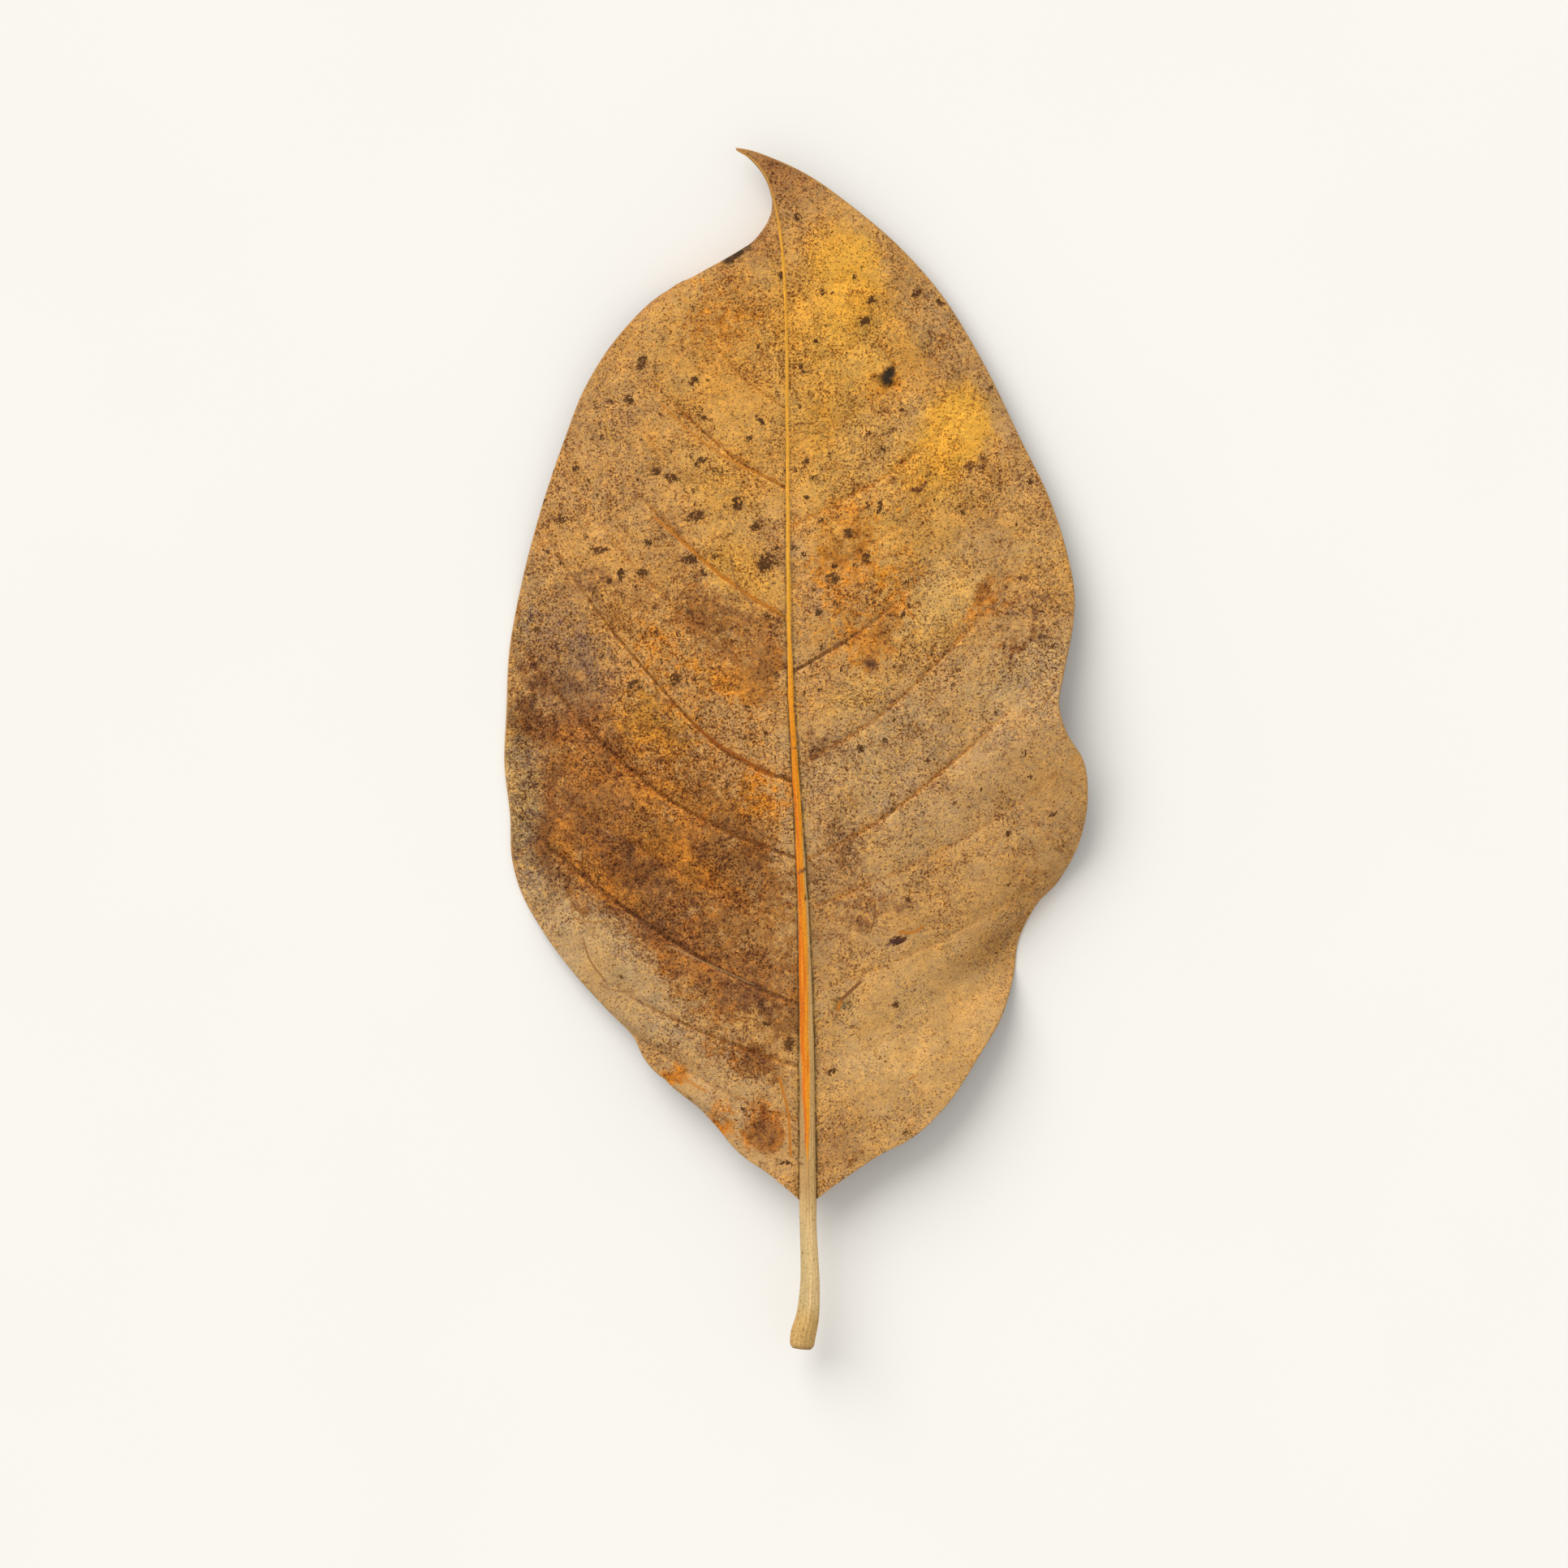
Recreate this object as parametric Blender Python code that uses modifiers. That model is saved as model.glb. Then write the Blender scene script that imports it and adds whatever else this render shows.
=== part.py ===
"""A dried magnolia leaf, lying on its underside with its upper face to the sky.

It is one solid that grew in one piece: a leathery blade with impressed side veins, a midrib that runs
from its tip to its base, and the petiole that the midrib turns into. The blade has dried into waves along
its right margin, and its left half has rolled under towards the hooked tip.

Sizes are in millimetres, in a leaf frame whose +Y runs from the petiole to the tip and whose zero is
where the blade meets the petiole. The table that the leaf lies on is at z = 0.
"""

import bmesh
import bpy
import numpy as np

MM = 0.001

# Middle of the box that the leaf fills, which becomes the origin
BOX_MIDDLE = (0.01, 69.13)

LEAF_COLOUR = (0.42, 0.23, 0.09, 1)
LEAF_ROUGHNESS = 0.65
BLADE_THICKNESS = 0.6
GROOVE_DEPTH = 0.3
GROOVE_HALF_WIDTH = 1.1
SWELL_BETWEEN_VEINS = 0.35
REST_BLEND = 0.35

# Midrib of the blade, from its base to the tip: x, y, height of the blade's middle
MIDRIB = (
    (1.9, 0.0, 7.8),
    (1.8, 12.0, 8.0),
    (1.5, 34.0, 8.4),
    (0.9, 50.0, 8.6),
    (0.2, 62.0, 8.7),
    (-0.6, 75.0, 8.7),
    (-1.1, 97.0, 8.4),
    (-1.25, 120.0, 7.4),
    (-1.6, 139.0, 6.2),
    (-2.1, 146.0, 5.7),
    (-2.6, 149.8, 5.4),
    (-3.3, 153.2, 5.1),
    (-4.3, 156.3, 4.7),
    (-5.9, 158.8, 4.3),
    (-8.8, 160.8, 3.8),
)

# Petiole, from its cut end to the base of the blade: x, y, height, radius
PETIOLE = (
    (0.95, -22.7, 7.0, 1.4),
    (1.0, -22.2, 7.0, 1.8),
    (1.1, -21.0, 7.1, 1.95),
    (1.8, -18.0, 7.2, 1.8),
    (2.2, -13.5, 7.4, 1.55),
    (2.1, -8.0, 7.5, 1.35),
    (1.9, -3.0, 7.6, 1.3),
)

# Radius of the midrib at fractions of its length, and how far its middle hangs below the blade's
MIDRIB_RADIUS = ((0.0, 1.3), (0.2, 1.15), (0.35, 0.9), (0.5, 0.72), (0.75, 0.55), (1.0, 0.42))
MIDRIB_SAG = ((0.0, 0.25), (0.3, 0.2), (0.6, 0.1), (1.0, 0.0))

# Right margin from the petiole to the tip, as seen from above: x, y
RIGHT_MARGIN = (
    (3.1, 0.1),
    (6.2, 1.9),
    (9.0, 4.4),
    (12.9, 7.0),
    (17.9, 9.6),
    (23.0, 14.4),
    (28.0, 21.9),
    (31.6, 28.0),
    (33.6, 34.4),
    (34.3, 39.4),
    (36.7, 44.4),
    (40.7, 49.4),
    (43.5, 55.0),
    (44.7, 61.9),
    (44.1, 66.9),
    (41.8, 71.6),
    (40.6, 75.6),
    (41.2, 80.6),
    (42.5, 88.0),
    (42.7, 93.0),
    (41.5, 99.4),
    (39.1, 106.9),
    (34.5, 116.5),
    (28.1, 128.9),
    (21.8, 138.8),
    (14.6, 146.4),
    (9.0, 151.2),
    (1.7, 156.2),
    (-3.8, 159.2),
    (-8.6, 161.3),
)

# Left margin from the petiole to just before it passes out of sight below the midrib
LEFT_MARGIN = (
    (0.7, 0.0),
    (-2.0, 1.8),
    (-4.9, 4.2),
    (-8.7, 7.1),
    (-13.1, 12.0),
    (-14.9, 14.4),
    (-18.4, 17.2),
    (-23.4, 21.9),
    (-24.9, 24.4),
    (-29.5, 29.4),
    (-34.3, 34.4),
    (-39.4, 41.9),
    (-42.2, 46.9),
    (-43.6, 51.9),
    (-43.9, 58.5),
    (-44.8, 66.9),
    (-44.5, 74.4),
    (-44.0, 84.4),
    (-42.1, 94.4),
    (-39.3, 105.0),
    (-35.4, 116.6),
    (-32.3, 124.0),
    (-27.3, 131.4),
    (-19.8, 138.9),
    (-10.6, 143.9),
    (-6.6, 146.4),
    (-4.3, 148.5),
)

# Where a side vein that leaves the midrib at one fraction of its length ends along the margin's length
RIGHT_SWEEP = (
    (0.0, 0.0), (0.05, 0.12), (0.2, 0.35), (0.32, 0.48), (0.4, 0.565),
    (0.5, 0.65), (0.67, 0.755), (0.825, 0.85), (0.92, 0.925), (1.0, 1.0),
)
LEFT_SWEEP = (
    (0.0, 0.0), (0.05, 0.15), (0.2, 0.42), (0.3, 0.56), (0.4, 0.66),
    (0.55, 0.755), (0.67, 0.82), (0.825, 0.913), (0.87, 0.965), (0.918, 1.0),
)
VEIN_BOW = 0.11

# Where the side veins leave the midrib, in millimetres from the base of the blade
RIGHT_VEINS = (9.0, 20.5, 32.0, 44.0, 53.5, 68.5, 81.8, 93.0, 102.4, 114.0, 126.0, 136.5, 146.0)
LEFT_VEINS = (5.0, 12.0, 20.5, 30.8, 40.5, 49.5, 62.0, 76.8, 88.6, 99.0, 109.0, 123.0, 133.0, 143.0)

# How far the margin lies below the midrib, at fractions of the midrib's length
RIGHT_DROP = (
    (0.0, 0.0), (0.1, 1.2), (0.2, 2.0), (0.35, 3.0), (0.5, 4.2),
    (0.7, 4.6), (0.85, 2.4), (0.95, 0.6), (1.0, 0.05),
)
LEFT_DROP = (
    (0.0, 0.0), (0.08, 4.2), (0.125, 6.4), (0.2, 11.2), (0.28, 9.2), (0.4, 6.6),
    (0.6, 5.0), (0.7, 3.0), (0.78, 0.8), (0.87, 0.0), (1.0, 0.0),
)
DROP_POWER = 1.9

# Waves of the margins: place along the margin's length, height, half length as a share of the margin
RIGHT_WAVES = ((0.278, -9.6, 0.058), (0.455, 3.2, 0.045))
LEFT_WAVES = ((0.10, -0.8, 0.02), (0.15, 0.9, 0.02), (0.2, -0.8, 0.02), (0.415, 1.4, 0.03))
WAVE_POWER = 2.6

# The left half near the tip, rolled under: how far it has turned at its margin, in degrees, for shares
# of the midrib, the radius of the roll, and the fold at the midrib once the margin is out of sight
ROLL_TURN = (
    (0.0, 0.0), (0.56, 0.0), (0.62, 8.0), (0.68, 35.0), (0.74, 85.0), (0.8, 145.0), (0.86, 205.0),
    (0.915, 245.0), (0.94, 205.0), (0.965, 117.0), (0.975, 72.0), (0.985, 34.0), (1.0, 15.0),
)
ROLL_RADIUS = 2.95
OUT_OF_SIGHT = 0.915
HIDDEN_FOLD = ((0.915, 90.0), (0.94, 80.0), (0.965, 50.0), (0.975, 32.0), (0.985, 16.0), (1.0, 5.0))
BLADE_ENDS = 0.996
SIDE_ANGLE = 52.0

COLUMNS = (0.0, 0.09, 0.19, 0.3, 0.41, 0.52, 0.63, 0.73, 0.82, 0.91, 1.0)
LONGEST_ROW_GAP = 3.2
SHORTEST_ROW_GAP = 0.8
BASE_ROWS = (0.9, 2.0, 3.4, 5.2)
RIB_STEPS = 44
PETIOLE_STEPS = 9


def smooth_line(points, steps=12):
    """A dense line through the points, by Catmull-Rom spans whose tangents follow the points' spacing."""
    p = np.array(points, float)
    t = np.concatenate([[0], np.cumsum(np.linalg.norm(np.diff(p, axis=0), axis=1))])
    tangent = np.gradient(p, t, axis=0)
    line = []
    for k in range(len(p) - 1):
        s = np.linspace(0, 1, steps, endpoint=False)[:, None]
        span = t[k + 1] - t[k]
        line.append(
            (2 * s**3 - 3 * s**2 + 1) * p[k]
            + (s**3 - 2 * s**2 + s) * span * tangent[k]
            + (3 * s**2 - 2 * s**3) * p[k + 1]
            + (s**3 - s**2) * span * tangent[k + 1]
        )
    return np.vstack([*line, p[-1:]])


def along(line, share):
    """Points of a line at shares of its length."""
    length = np.concatenate([[0], np.cumsum(np.linalg.norm(np.diff(line[:, :2], axis=0), axis=1))])
    return np.stack([np.interp(share, length / length[-1], c) for c in line.T], axis=-1)


def table(pairs, x):
    """A smooth reading of a short table of pairs, which never passes beyond the values on either side."""
    known, value = np.array(pairs, float).T
    rise = np.diff(value) / np.diff(known)
    same_way = rise[:-1] * rise[1:] > 0
    both = np.where(same_way, rise[:-1] + rise[1:], 1.0)
    inner = np.where(same_way, 2 * rise[:-1] * rise[1:] / both, 0.0)
    slope = np.concatenate([rise[:1], inner, rise[-1:]])
    k = np.clip(np.searchsorted(known, x, side="right") - 1, 0, len(known) - 2)
    span = known[k + 1] - known[k]
    s = np.clip((x - known[k]) / span, 0, 1)
    ends = value[k] + (3 * s**2 - 2 * s**3) * (value[k + 1] - value[k])
    return ends + span * ((s**3 - 2 * s**2 + s) * slope[k] + (s**3 - s**2) * slope[k + 1])


MIDRIB_LINE = smooth_line(MIDRIB)
MIDRIB_LENGTH = np.linalg.norm(np.diff(MIDRIB_LINE[:, :2], axis=0), axis=1).sum()
HIDDEN_FROM = tuple(along(MIDRIB_LINE, np.array([OUT_OF_SIGHT]))[0, :2])
MARGIN_LINE = {
    "left": smooth_line([*LEFT_MARGIN, HIDDEN_FROM]),
    "right": smooth_line(RIGHT_MARGIN),
}
SWEEP = {"left": LEFT_SWEEP, "right": RIGHT_SWEEP}
DROP = {"left": LEFT_DROP, "right": RIGHT_DROP}
WAVES = {"left": LEFT_WAVES, "right": RIGHT_WAVES}
VEINS = {
    "left": np.array(LEFT_VEINS) / MIDRIB_LENGTH,
    "right": np.array(RIGHT_VEINS) / MIDRIB_LENGTH,
}


def roll(row, reach, f):
    """Distance out and depth, at shares f of the left half's width, when only reach of it is in sight."""
    turn = np.radians(np.maximum(table(ROLL_TURN, row), 0))
    hidden = np.radians(table(HIDDEN_FOLD, np.maximum(row, OUT_OF_SIGHT)))
    fold = np.arcsin(np.clip(1 - reach / ROLL_RADIUS, 0, 1))
    first = np.minimum(np.where(row > OUT_OF_SIGHT, hidden, fold), turn)
    straight = np.maximum(reach - ROLL_RADIUS * np.sin(np.minimum(turn, np.pi / 2)), 0)
    across = f * (straight + ROLL_RADIUS * (turn - first))
    angle = first + np.maximum(across - straight, 0) / ROLL_RADIUS
    out = np.minimum(across, straight) + ROLL_RADIUS * (np.sin(angle) - np.sin(first))
    return out, ROLL_RADIUS * (np.cos(first) - np.cos(angle))


def left_direction(row):
    """Unit vector in plan along which the rolled half leaves the midrib."""
    middle = np.minimum(row, 0.99)
    tangent = along(MIDRIB_LINE, middle + 0.01)[:, :2] - along(MIDRIB_LINE, middle - 0.01)[:, :2]
    turn = np.radians(SIDE_ANGLE)
    x = tangent[:, 0] * np.cos(turn) - tangent[:, 1] * np.sin(turn)
    y = tangent[:, 0] * np.sin(turn) + tangent[:, 1] * np.cos(turn)
    return np.column_stack([x, y]) / np.linalg.norm(tangent, axis=1, keepdims=True)


def vein_relief(row, f, side):
    """Height added to the blade: a groove along each side vein and a slight swell between two."""
    gap = (row[:, None] - VEINS[side][None, :]) * MIDRIB_LENGTH
    nearest = np.abs(gap).min(axis=1)
    groove = -GROOVE_DEPTH * np.clip(1 - nearest / GROOVE_HALF_WIDTH, 0, 1)
    swell = SWELL_BETWEEN_VEINS * np.clip(nearest / (3 * GROOVE_HALF_WIDTH), 0, 1)
    fade = np.sin(np.pi * np.clip(f, 0, 1)) ** 0.5
    ends = np.clip(row / 0.06, 0, 1) * np.clip((1 - row) / 0.12, 0, 1)
    return (groove + swell) * fade * ends


def flattened(z):
    """Heights kept from going below the table, where the blade lies flat on it."""
    rest = BLADE_THICKNESS / 2
    rounded = rest + (z - rest + REST_BLEND) ** 2 / (4 * REST_BLEND)
    return np.where(z > rest + REST_BLEND, z, np.where(z < rest - REST_BLEND, rest, rounded))


def blade_points(row, f, side):
    """Points of the blade's middle surface, for rows along the side veins and shares f out to the margin."""
    rib = along(MIDRIB_LINE, row)
    place = np.clip(table(SWEEP[side], row), 0, 1)
    chord = along(MARGIN_LINE[side], place) - rib[:, :2]
    reach = np.linalg.norm(chord, axis=1)
    direction = chord / np.maximum(reach, 1e-6)[:, None]
    out, depth = f * reach, np.zeros_like(f)
    if side == "left":
        reach = np.where(row > OUT_OF_SIGHT, 0, reach)
        turned = np.clip((row - 0.84) / (OUT_OF_SIGHT - 0.86), 0, 1)[:, None]
        direction = direction * (1 - turned) + left_direction(row) * turned
        direction /= np.linalg.norm(direction, axis=1, keepdims=True)
        out, depth = roll(row, reach, f)
    bow = VEIN_BOW * np.clip(row / 0.1, 0, 1) * 2 * f * (1 - f) * reach * (1 if side == "right" else -1)
    towards_base = np.column_stack([direction[:, 1], -direction[:, 0]])
    plan = rib[:, :2] + direction * out[:, None] + towards_base * bow[:, None]
    z = rib[:, 2] - table(DROP[side], row) * f**DROP_POWER - depth
    for at, height, half in WAVES[side]:
        z = z + height * np.exp(-(((place - at) / half) ** 2)) * f**WAVE_POWER
    z = z + vein_relief(row, f, side)
    return np.column_stack([plan, flattened(z)])


def row_stations():
    """Rows along the midrib: three for each side vein, and enough between for the blade's curves."""
    veins = np.concatenate([VEINS["left"], VEINS["right"]]) * MIDRIB_LENGTH
    rows = [0.0, *BASE_ROWS, BLADE_ENDS * MIDRIB_LENGTH]
    for at in np.concatenate([veins, veins - GROOVE_HALF_WIDTH, veins + GROOVE_HALF_WIDTH]):
        if np.abs(np.array(rows) - at).min() > SHORTEST_ROW_GAP:
            rows.append(at)
    rows = np.sort(rows)
    filled = [rows[:1]]
    for start, end in zip(rows[:-1], rows[1:]):
        steps = int(np.ceil((end - start) / LONGEST_ROW_GAP))
        filled.append(np.linspace(start, end, steps + 1)[1:])
    return np.concatenate(filled) / MIDRIB_LENGTH


def build_blade(material):
    """The blade as a grid whose rows follow the side veins, thickened to both sides."""
    rows = row_stations()
    across = np.array([-c for c in COLUMNS[:0:-1]] + list(COLUMNS))
    mesh = bpy.data.meshes.new("magnolia_leaf")
    grid = bmesh.new()
    bmesh.ops.create_grid(grid, x_segments=len(across) - 1, y_segments=len(rows) - 1, size=1)
    for vert in grid.verts:
        column = round((vert.co.x + 1) / 2 * (len(across) - 1))
        station = rows[round((vert.co.y + 1) / 2 * (len(rows) - 1))]
        side = "left" if across[column] < 0 else "right"
        share = np.array([abs(across[column])])
        point = blade_points(np.array([station]), share, side)[0]
        vert.co = [c * MM for c in point]
    bmesh.ops.triangulate(grid, faces=grid.faces, quad_method="FIXED")
    bmesh.ops.recalc_face_normals(grid, faces=grid.faces)
    grid.to_mesh(mesh)
    grid.free()
    mesh.materials.append(material)
    mesh.shade_smooth()
    leaf = bpy.data.objects.new("magnolia_leaf", mesh)
    skin = leaf.modifiers.new("thickness", "SOLIDIFY")
    skin.thickness = BLADE_THICKNESS * MM
    skin.offset = 0
    skin.use_even_offset = False
    return leaf


def rib_points():
    """Middle line and radius of the petiole and the midrib, from the petiole's end to the tip."""
    share = np.linspace(0, 1, RIB_STEPS)
    rib = along(MIDRIB_LINE, share)
    rib[:, 2] -= table(MIDRIB_SAG, share)
    rib = np.column_stack([rib, table(MIDRIB_RADIUS, share)])
    stalk = np.vstack([np.array(PETIOLE), rib[:1]])
    line = smooth_line(stalk)
    return np.vstack([along(line, np.linspace(0, 1, PETIOLE_STEPS + 1))[:-1], rib])


def build_rib():
    """The petiole and midrib as one tapered tube."""
    points = rib_points()
    curve = bpy.data.curves.new("petiole_and_midrib", "CURVE")
    curve.dimensions = "3D"
    curve.bevel_depth = MM
    curve.bevel_resolution = 2
    curve.use_fill_caps = True
    spline = curve.splines.new("POLY")
    spline.points.add(len(points) - 1)
    for point, (x, y, z, radius) in zip(spline.points, points):
        point.co = (x * MM, y * MM, z * MM, 1)
        point.radius = radius
    tube = bpy.data.objects.new("petiole_and_midrib", curve)
    bpy.context.scene.collection.objects.link(tube)
    bpy.context.view_layer.update()
    evaluated = tube.evaluated_get(bpy.context.evaluated_depsgraph_get())
    mesh = bpy.data.meshes.new_from_object(evaluated)
    bpy.data.objects.remove(tube)
    shape = bmesh.new()
    shape.from_mesh(mesh)
    bmesh.ops.remove_doubles(shape, verts=shape.verts, dist=1e-6)
    shape.to_mesh(mesh)
    shape.free()
    return bpy.data.objects.new("petiole_and_midrib", mesh)


def leaf_material():
    material = bpy.data.materials.new("dried_leaf")
    material.use_nodes = True
    shader = material.node_tree.nodes["Principled BSDF"]
    shader.inputs["Base Color"].default_value = LEAF_COLOUR
    shader.inputs["Roughness"].default_value = LEAF_ROUGHNESS
    shader.inputs["Metallic"].default_value = 0
    return material


def main():
    for obj in list(bpy.data.objects):
        bpy.data.objects.remove(obj)
    leaf_parts = bpy.data.collections.new("dried_magnolia_leaf")
    joined = bpy.data.collections.new("joined_to_the_blade")
    bpy.context.scene.collection.children.link(leaf_parts)
    bpy.context.scene.collection.children.link(joined)

    leaf = build_blade(leaf_material())
    rib = build_rib()
    leaf_parts.objects.link(leaf)
    joined.objects.link(rib)
    rib.hide_render = True
    rib.display_type = "WIRE"

    union = leaf.modifiers.new("with_midrib_and_petiole", "BOOLEAN")
    union.operation = "UNION"
    union.solver = "EXACT"
    union.object = rib
    for obj in (leaf, rib):
        obj.location = (-BOX_MIDDLE[0] * MM, -BOX_MIDDLE[1] * MM, 0)


main()
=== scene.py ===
import bmesh
import bpy
import numpy as np
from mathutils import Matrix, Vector


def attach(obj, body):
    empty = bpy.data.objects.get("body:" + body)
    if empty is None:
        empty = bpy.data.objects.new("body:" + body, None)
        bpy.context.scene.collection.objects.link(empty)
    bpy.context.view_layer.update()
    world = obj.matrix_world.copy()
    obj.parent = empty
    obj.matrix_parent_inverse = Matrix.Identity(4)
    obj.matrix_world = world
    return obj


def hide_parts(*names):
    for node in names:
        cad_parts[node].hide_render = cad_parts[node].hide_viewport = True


# A dried magnolia leaf on a pale floor, seen from straight above.
#
# Lengths are in millimetres in the leaf's own frame: +Y from the petiole to the tip, zero where the blade
# meets the petiole, and the floor at z = 0. Colours are as they look in daylight, from 0 to 255.
#
# An oval is its middle x and y, half length, half width, turn of its length from +X in degrees, and the
# softness of its edge. A layer of noise is how much it adds, its grain and its seed. A shader's noise is its
# scale, detail, roughness and distortion.

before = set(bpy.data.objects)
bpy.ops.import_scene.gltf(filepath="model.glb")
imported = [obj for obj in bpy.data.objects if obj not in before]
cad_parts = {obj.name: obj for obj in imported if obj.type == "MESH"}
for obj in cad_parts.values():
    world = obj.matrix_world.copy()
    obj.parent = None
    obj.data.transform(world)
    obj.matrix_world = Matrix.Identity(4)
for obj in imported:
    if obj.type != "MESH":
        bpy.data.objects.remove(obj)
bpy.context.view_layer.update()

MM = 0.001
BOX_MIDDLE = (0.01, 69.13)
NODE = "magnolia_leaf"

# Light: what falls on level ground, the sky's share of it, and the sun's height, width and direction; and
# half the width of the floor in metres
GROUND_LIGHT = 1.2
SKY_SHARE = 0.58
SUN_HEIGHT = 41.0
SUN_SPREAD = 50.0
SHADOW_DIRECTION = (0.62, -0.78)
FLOOR_HALF_SIZE = 2.5

# Camera: the middle and width of what it sees on the floor, its lens and sensor, and how far it sees in
# metres
VIEW_MIDDLE = (-1.75, 63.6)
VIEW_WIDTH = 241.5
LENS = 135.0
SENSOR = 36.0
CLIP_END = 10

# Blade: its thickness, how softly it comes to rest on the floor, how finely it is divided and read, and how
# it thins at the tip and rounds at the rim
BLADE_THICKNESS = 0.6
REST_BLEND = 0.35
ROWS = 452
COLUMNS = 104
RIM_STEPS = 5
WIDTH_STEPS = 40
NORMAL_STEP = 0.002
TANGENT_STEP = 0.01
SEAM_SHARE = 0.004
BLADE_ENDS = 0.9995
TIP_TAPER = 0.03
TIP_THICKNESS = 0.4
RIM_ROUND = 0.28
UNDERSIDE_FROM = -0.4

# Relief of the blade's two faces, and the shares of the midrib over which it starts and ends
VEIN_GROOVE = 0.3
VEIN_HALF_WIDTH = 0.5
FAINT_VEIN = 0.4
SWELL_BETWEEN_VEINS = 0.3
SWELL_MEAN = 0.35
UNDER_RIDGE = 0.2
PUCKER = 0.07
PUCKER_LAYERS = ((1.0, 2.6, 1), (0.6, 2.6 / 2.3, 2))
CREASE_DEPTH = 0.28
CREASE_WIDTH = 0.75
CREASE_ENDS = 1.15
CREASE_LEAST = 0.2
CREASE_AT_MARGIN = 0.3
CRUMB_HEIGHT = 0.07
CRUMB_STEEPNESS = 1.5
RELIEF_STARTS = 0.06
RELIEF_ENDS = 0.93
RELIEF_FADE = 0.22
VEIN_FADE_IN = 0.05
VEIN_FADE_OUT = 0.1

# Midrib of the blade, from its base to the tip: x, y, height of the blade's middle
MIDRIB = (
    (1.9, 0.0, 7.8), (1.8, 12.0, 8.0), (1.5, 34.0, 8.4), (0.9, 50.0, 8.6),
    (0.2, 62.0, 8.7), (-0.6, 75.0, 8.7), (-1.1, 97.0, 8.4), (-1.25, 120.0, 7.4),
    (-1.6, 139.0, 6.2), (-2.1, 146.0, 5.7), (-2.6, 149.8, 5.4), (-3.3, 153.2, 5.1),
    (-4.3, 156.3, 4.7), (-5.95, 158.7, 4.3), (-7.4, 159.95, 4.0), (-9.1, 160.9, 3.8),
)

# Petiole, from its cut end to the base of the blade: x, y, height, radius
PETIOLE = (
    (0.95, -22.7, 7.0, 1.4),
    (1.0, -22.2, 7.0, 1.8),
    (1.1, -21.0, 7.1, 1.95),
    (1.8, -18.0, 7.2, 1.8),
    (2.2, -13.5, 7.4, 1.55),
    (2.1, -8.0, 7.5, 1.35),
    (1.9, -3.0, 7.6, 1.3),
)

# Radius of the midrib at fractions of its length, and how far its middle hangs below the blade's
MIDRIB_RADIUS = (
    (0.0, 1.35), (0.12, 1.27), (0.2, 1.1), (0.28, 0.9), (0.4, 0.66),
    (0.6, 0.5), (0.8, 0.38), (0.9, 0.27), (1.0, 0.15),
)
MIDRIB_SAG = ((0.0, 0.25), (0.3, 0.2), (0.6, 0.1), (0.8, 0.0), (0.88, -0.12), (1.0, -0.2))
RIB_TIP = 0.8
RIB_BLUNTNESS = 0.98
MIDRIB_STEPS = 200
RIB_STEPS = 700
RIB_SIDES = 56
RIB_FIBRES = 17
FIBRE_HEIGHT = 0.035
FIBRE_WANDER = 1.5
FIBRE_TWIST = 0.06
FIBRE_STRETCH = 0.08
LUMP_HEIGHT = 0.02

# Streaks along the midrib: how much each adds, how many go around it and along it, and its seed
CORE_STREAKS = ((1.0, 3.0, 0.12, 6), (0.6, 7.0, 0.3, 7))
RED_STREAKS = ((0.9, 5.0, 0.22, 5),)
LUMPS = ((1.0, 1.5, 0.25, 9),)
STREAK_DEPTH = 0.10

# Right margin from the petiole to the tip, as seen from above: x, y
RIGHT_MARGIN = (
    (3.1, 0.1), (5.7, 2.1), (9.0, 4.4), (12.9, 7.0), (17.9, 9.6), (23.0, 14.4),
    (28.0, 21.9), (31.6, 28.0), (33.6, 34.4), (34.3, 39.4), (36.7, 44.4), (40.7, 49.4),
    (43.5, 55.0), (44.7, 61.9), (44.1, 66.9), (41.3, 71.6), (40.2, 75.6), (41.0, 80.6),
    (42.5, 88.0), (42.7, 93.0), (41.5, 99.4), (39.1, 106.9), (34.5, 116.5), (28.4, 129.0),
    (22.2, 139.0), (14.9, 147.0), (8.8, 152.1), (1.3, 157.3), (-4.0, 159.75), (-7.5, 160.95),
    (-9.3, 161.2),
)

# Left margin from the petiole to just before it passes out of sight below the midrib
LEFT_MARGIN = (
    (0.7, 0.0), (-1.7, 2.1), (-4.5, 4.4), (-8.6, 7.2), (-12.9, 12.2), (-14.9, 14.4),
    (-18.4, 17.2), (-23.4, 21.9), (-24.7, 24.6), (-29.3, 29.7), (-34.0, 34.7), (-39.4, 41.9),
    (-42.2, 46.9), (-43.6, 51.9), (-43.9, 58.5), (-44.8, 66.9), (-44.5, 74.4), (-44.0, 84.4),
    (-42.1, 94.4), (-39.3, 105.0), (-35.4, 116.6), (-32.4, 124.2), (-27.4, 131.9), (-20.0, 138.9),
    (-14.9, 141.9), (-10.2, 144.35), (-7.9, 145.75), (-6.2, 146.9), (-4.8, 148.5), (-3.85, 150.1),
    (-3.35, 151.6),
)

# Where a side vein that leaves the midrib at one fraction of its length ends along the margin's length
RIGHT_SWEEP = (
    (0.0, 0.0), (0.05, 0.12), (0.2, 0.35), (0.32, 0.48), (0.4, 0.565),
    (0.5, 0.65), (0.67, 0.755), (0.825, 0.85), (0.92, 0.925), (1.0, 1.0),
)
LEFT_SWEEP = (
    (0.0, 0.0), (0.05, 0.15), (0.2, 0.42), (0.3, 0.56), (0.4, 0.66),
    (0.55, 0.755), (0.67, 0.82), (0.825, 0.913), (0.87, 0.955), (0.938, 1.0),
)
VEIN_BOW = 0.11
BOW_FADE_IN = 0.1

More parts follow.
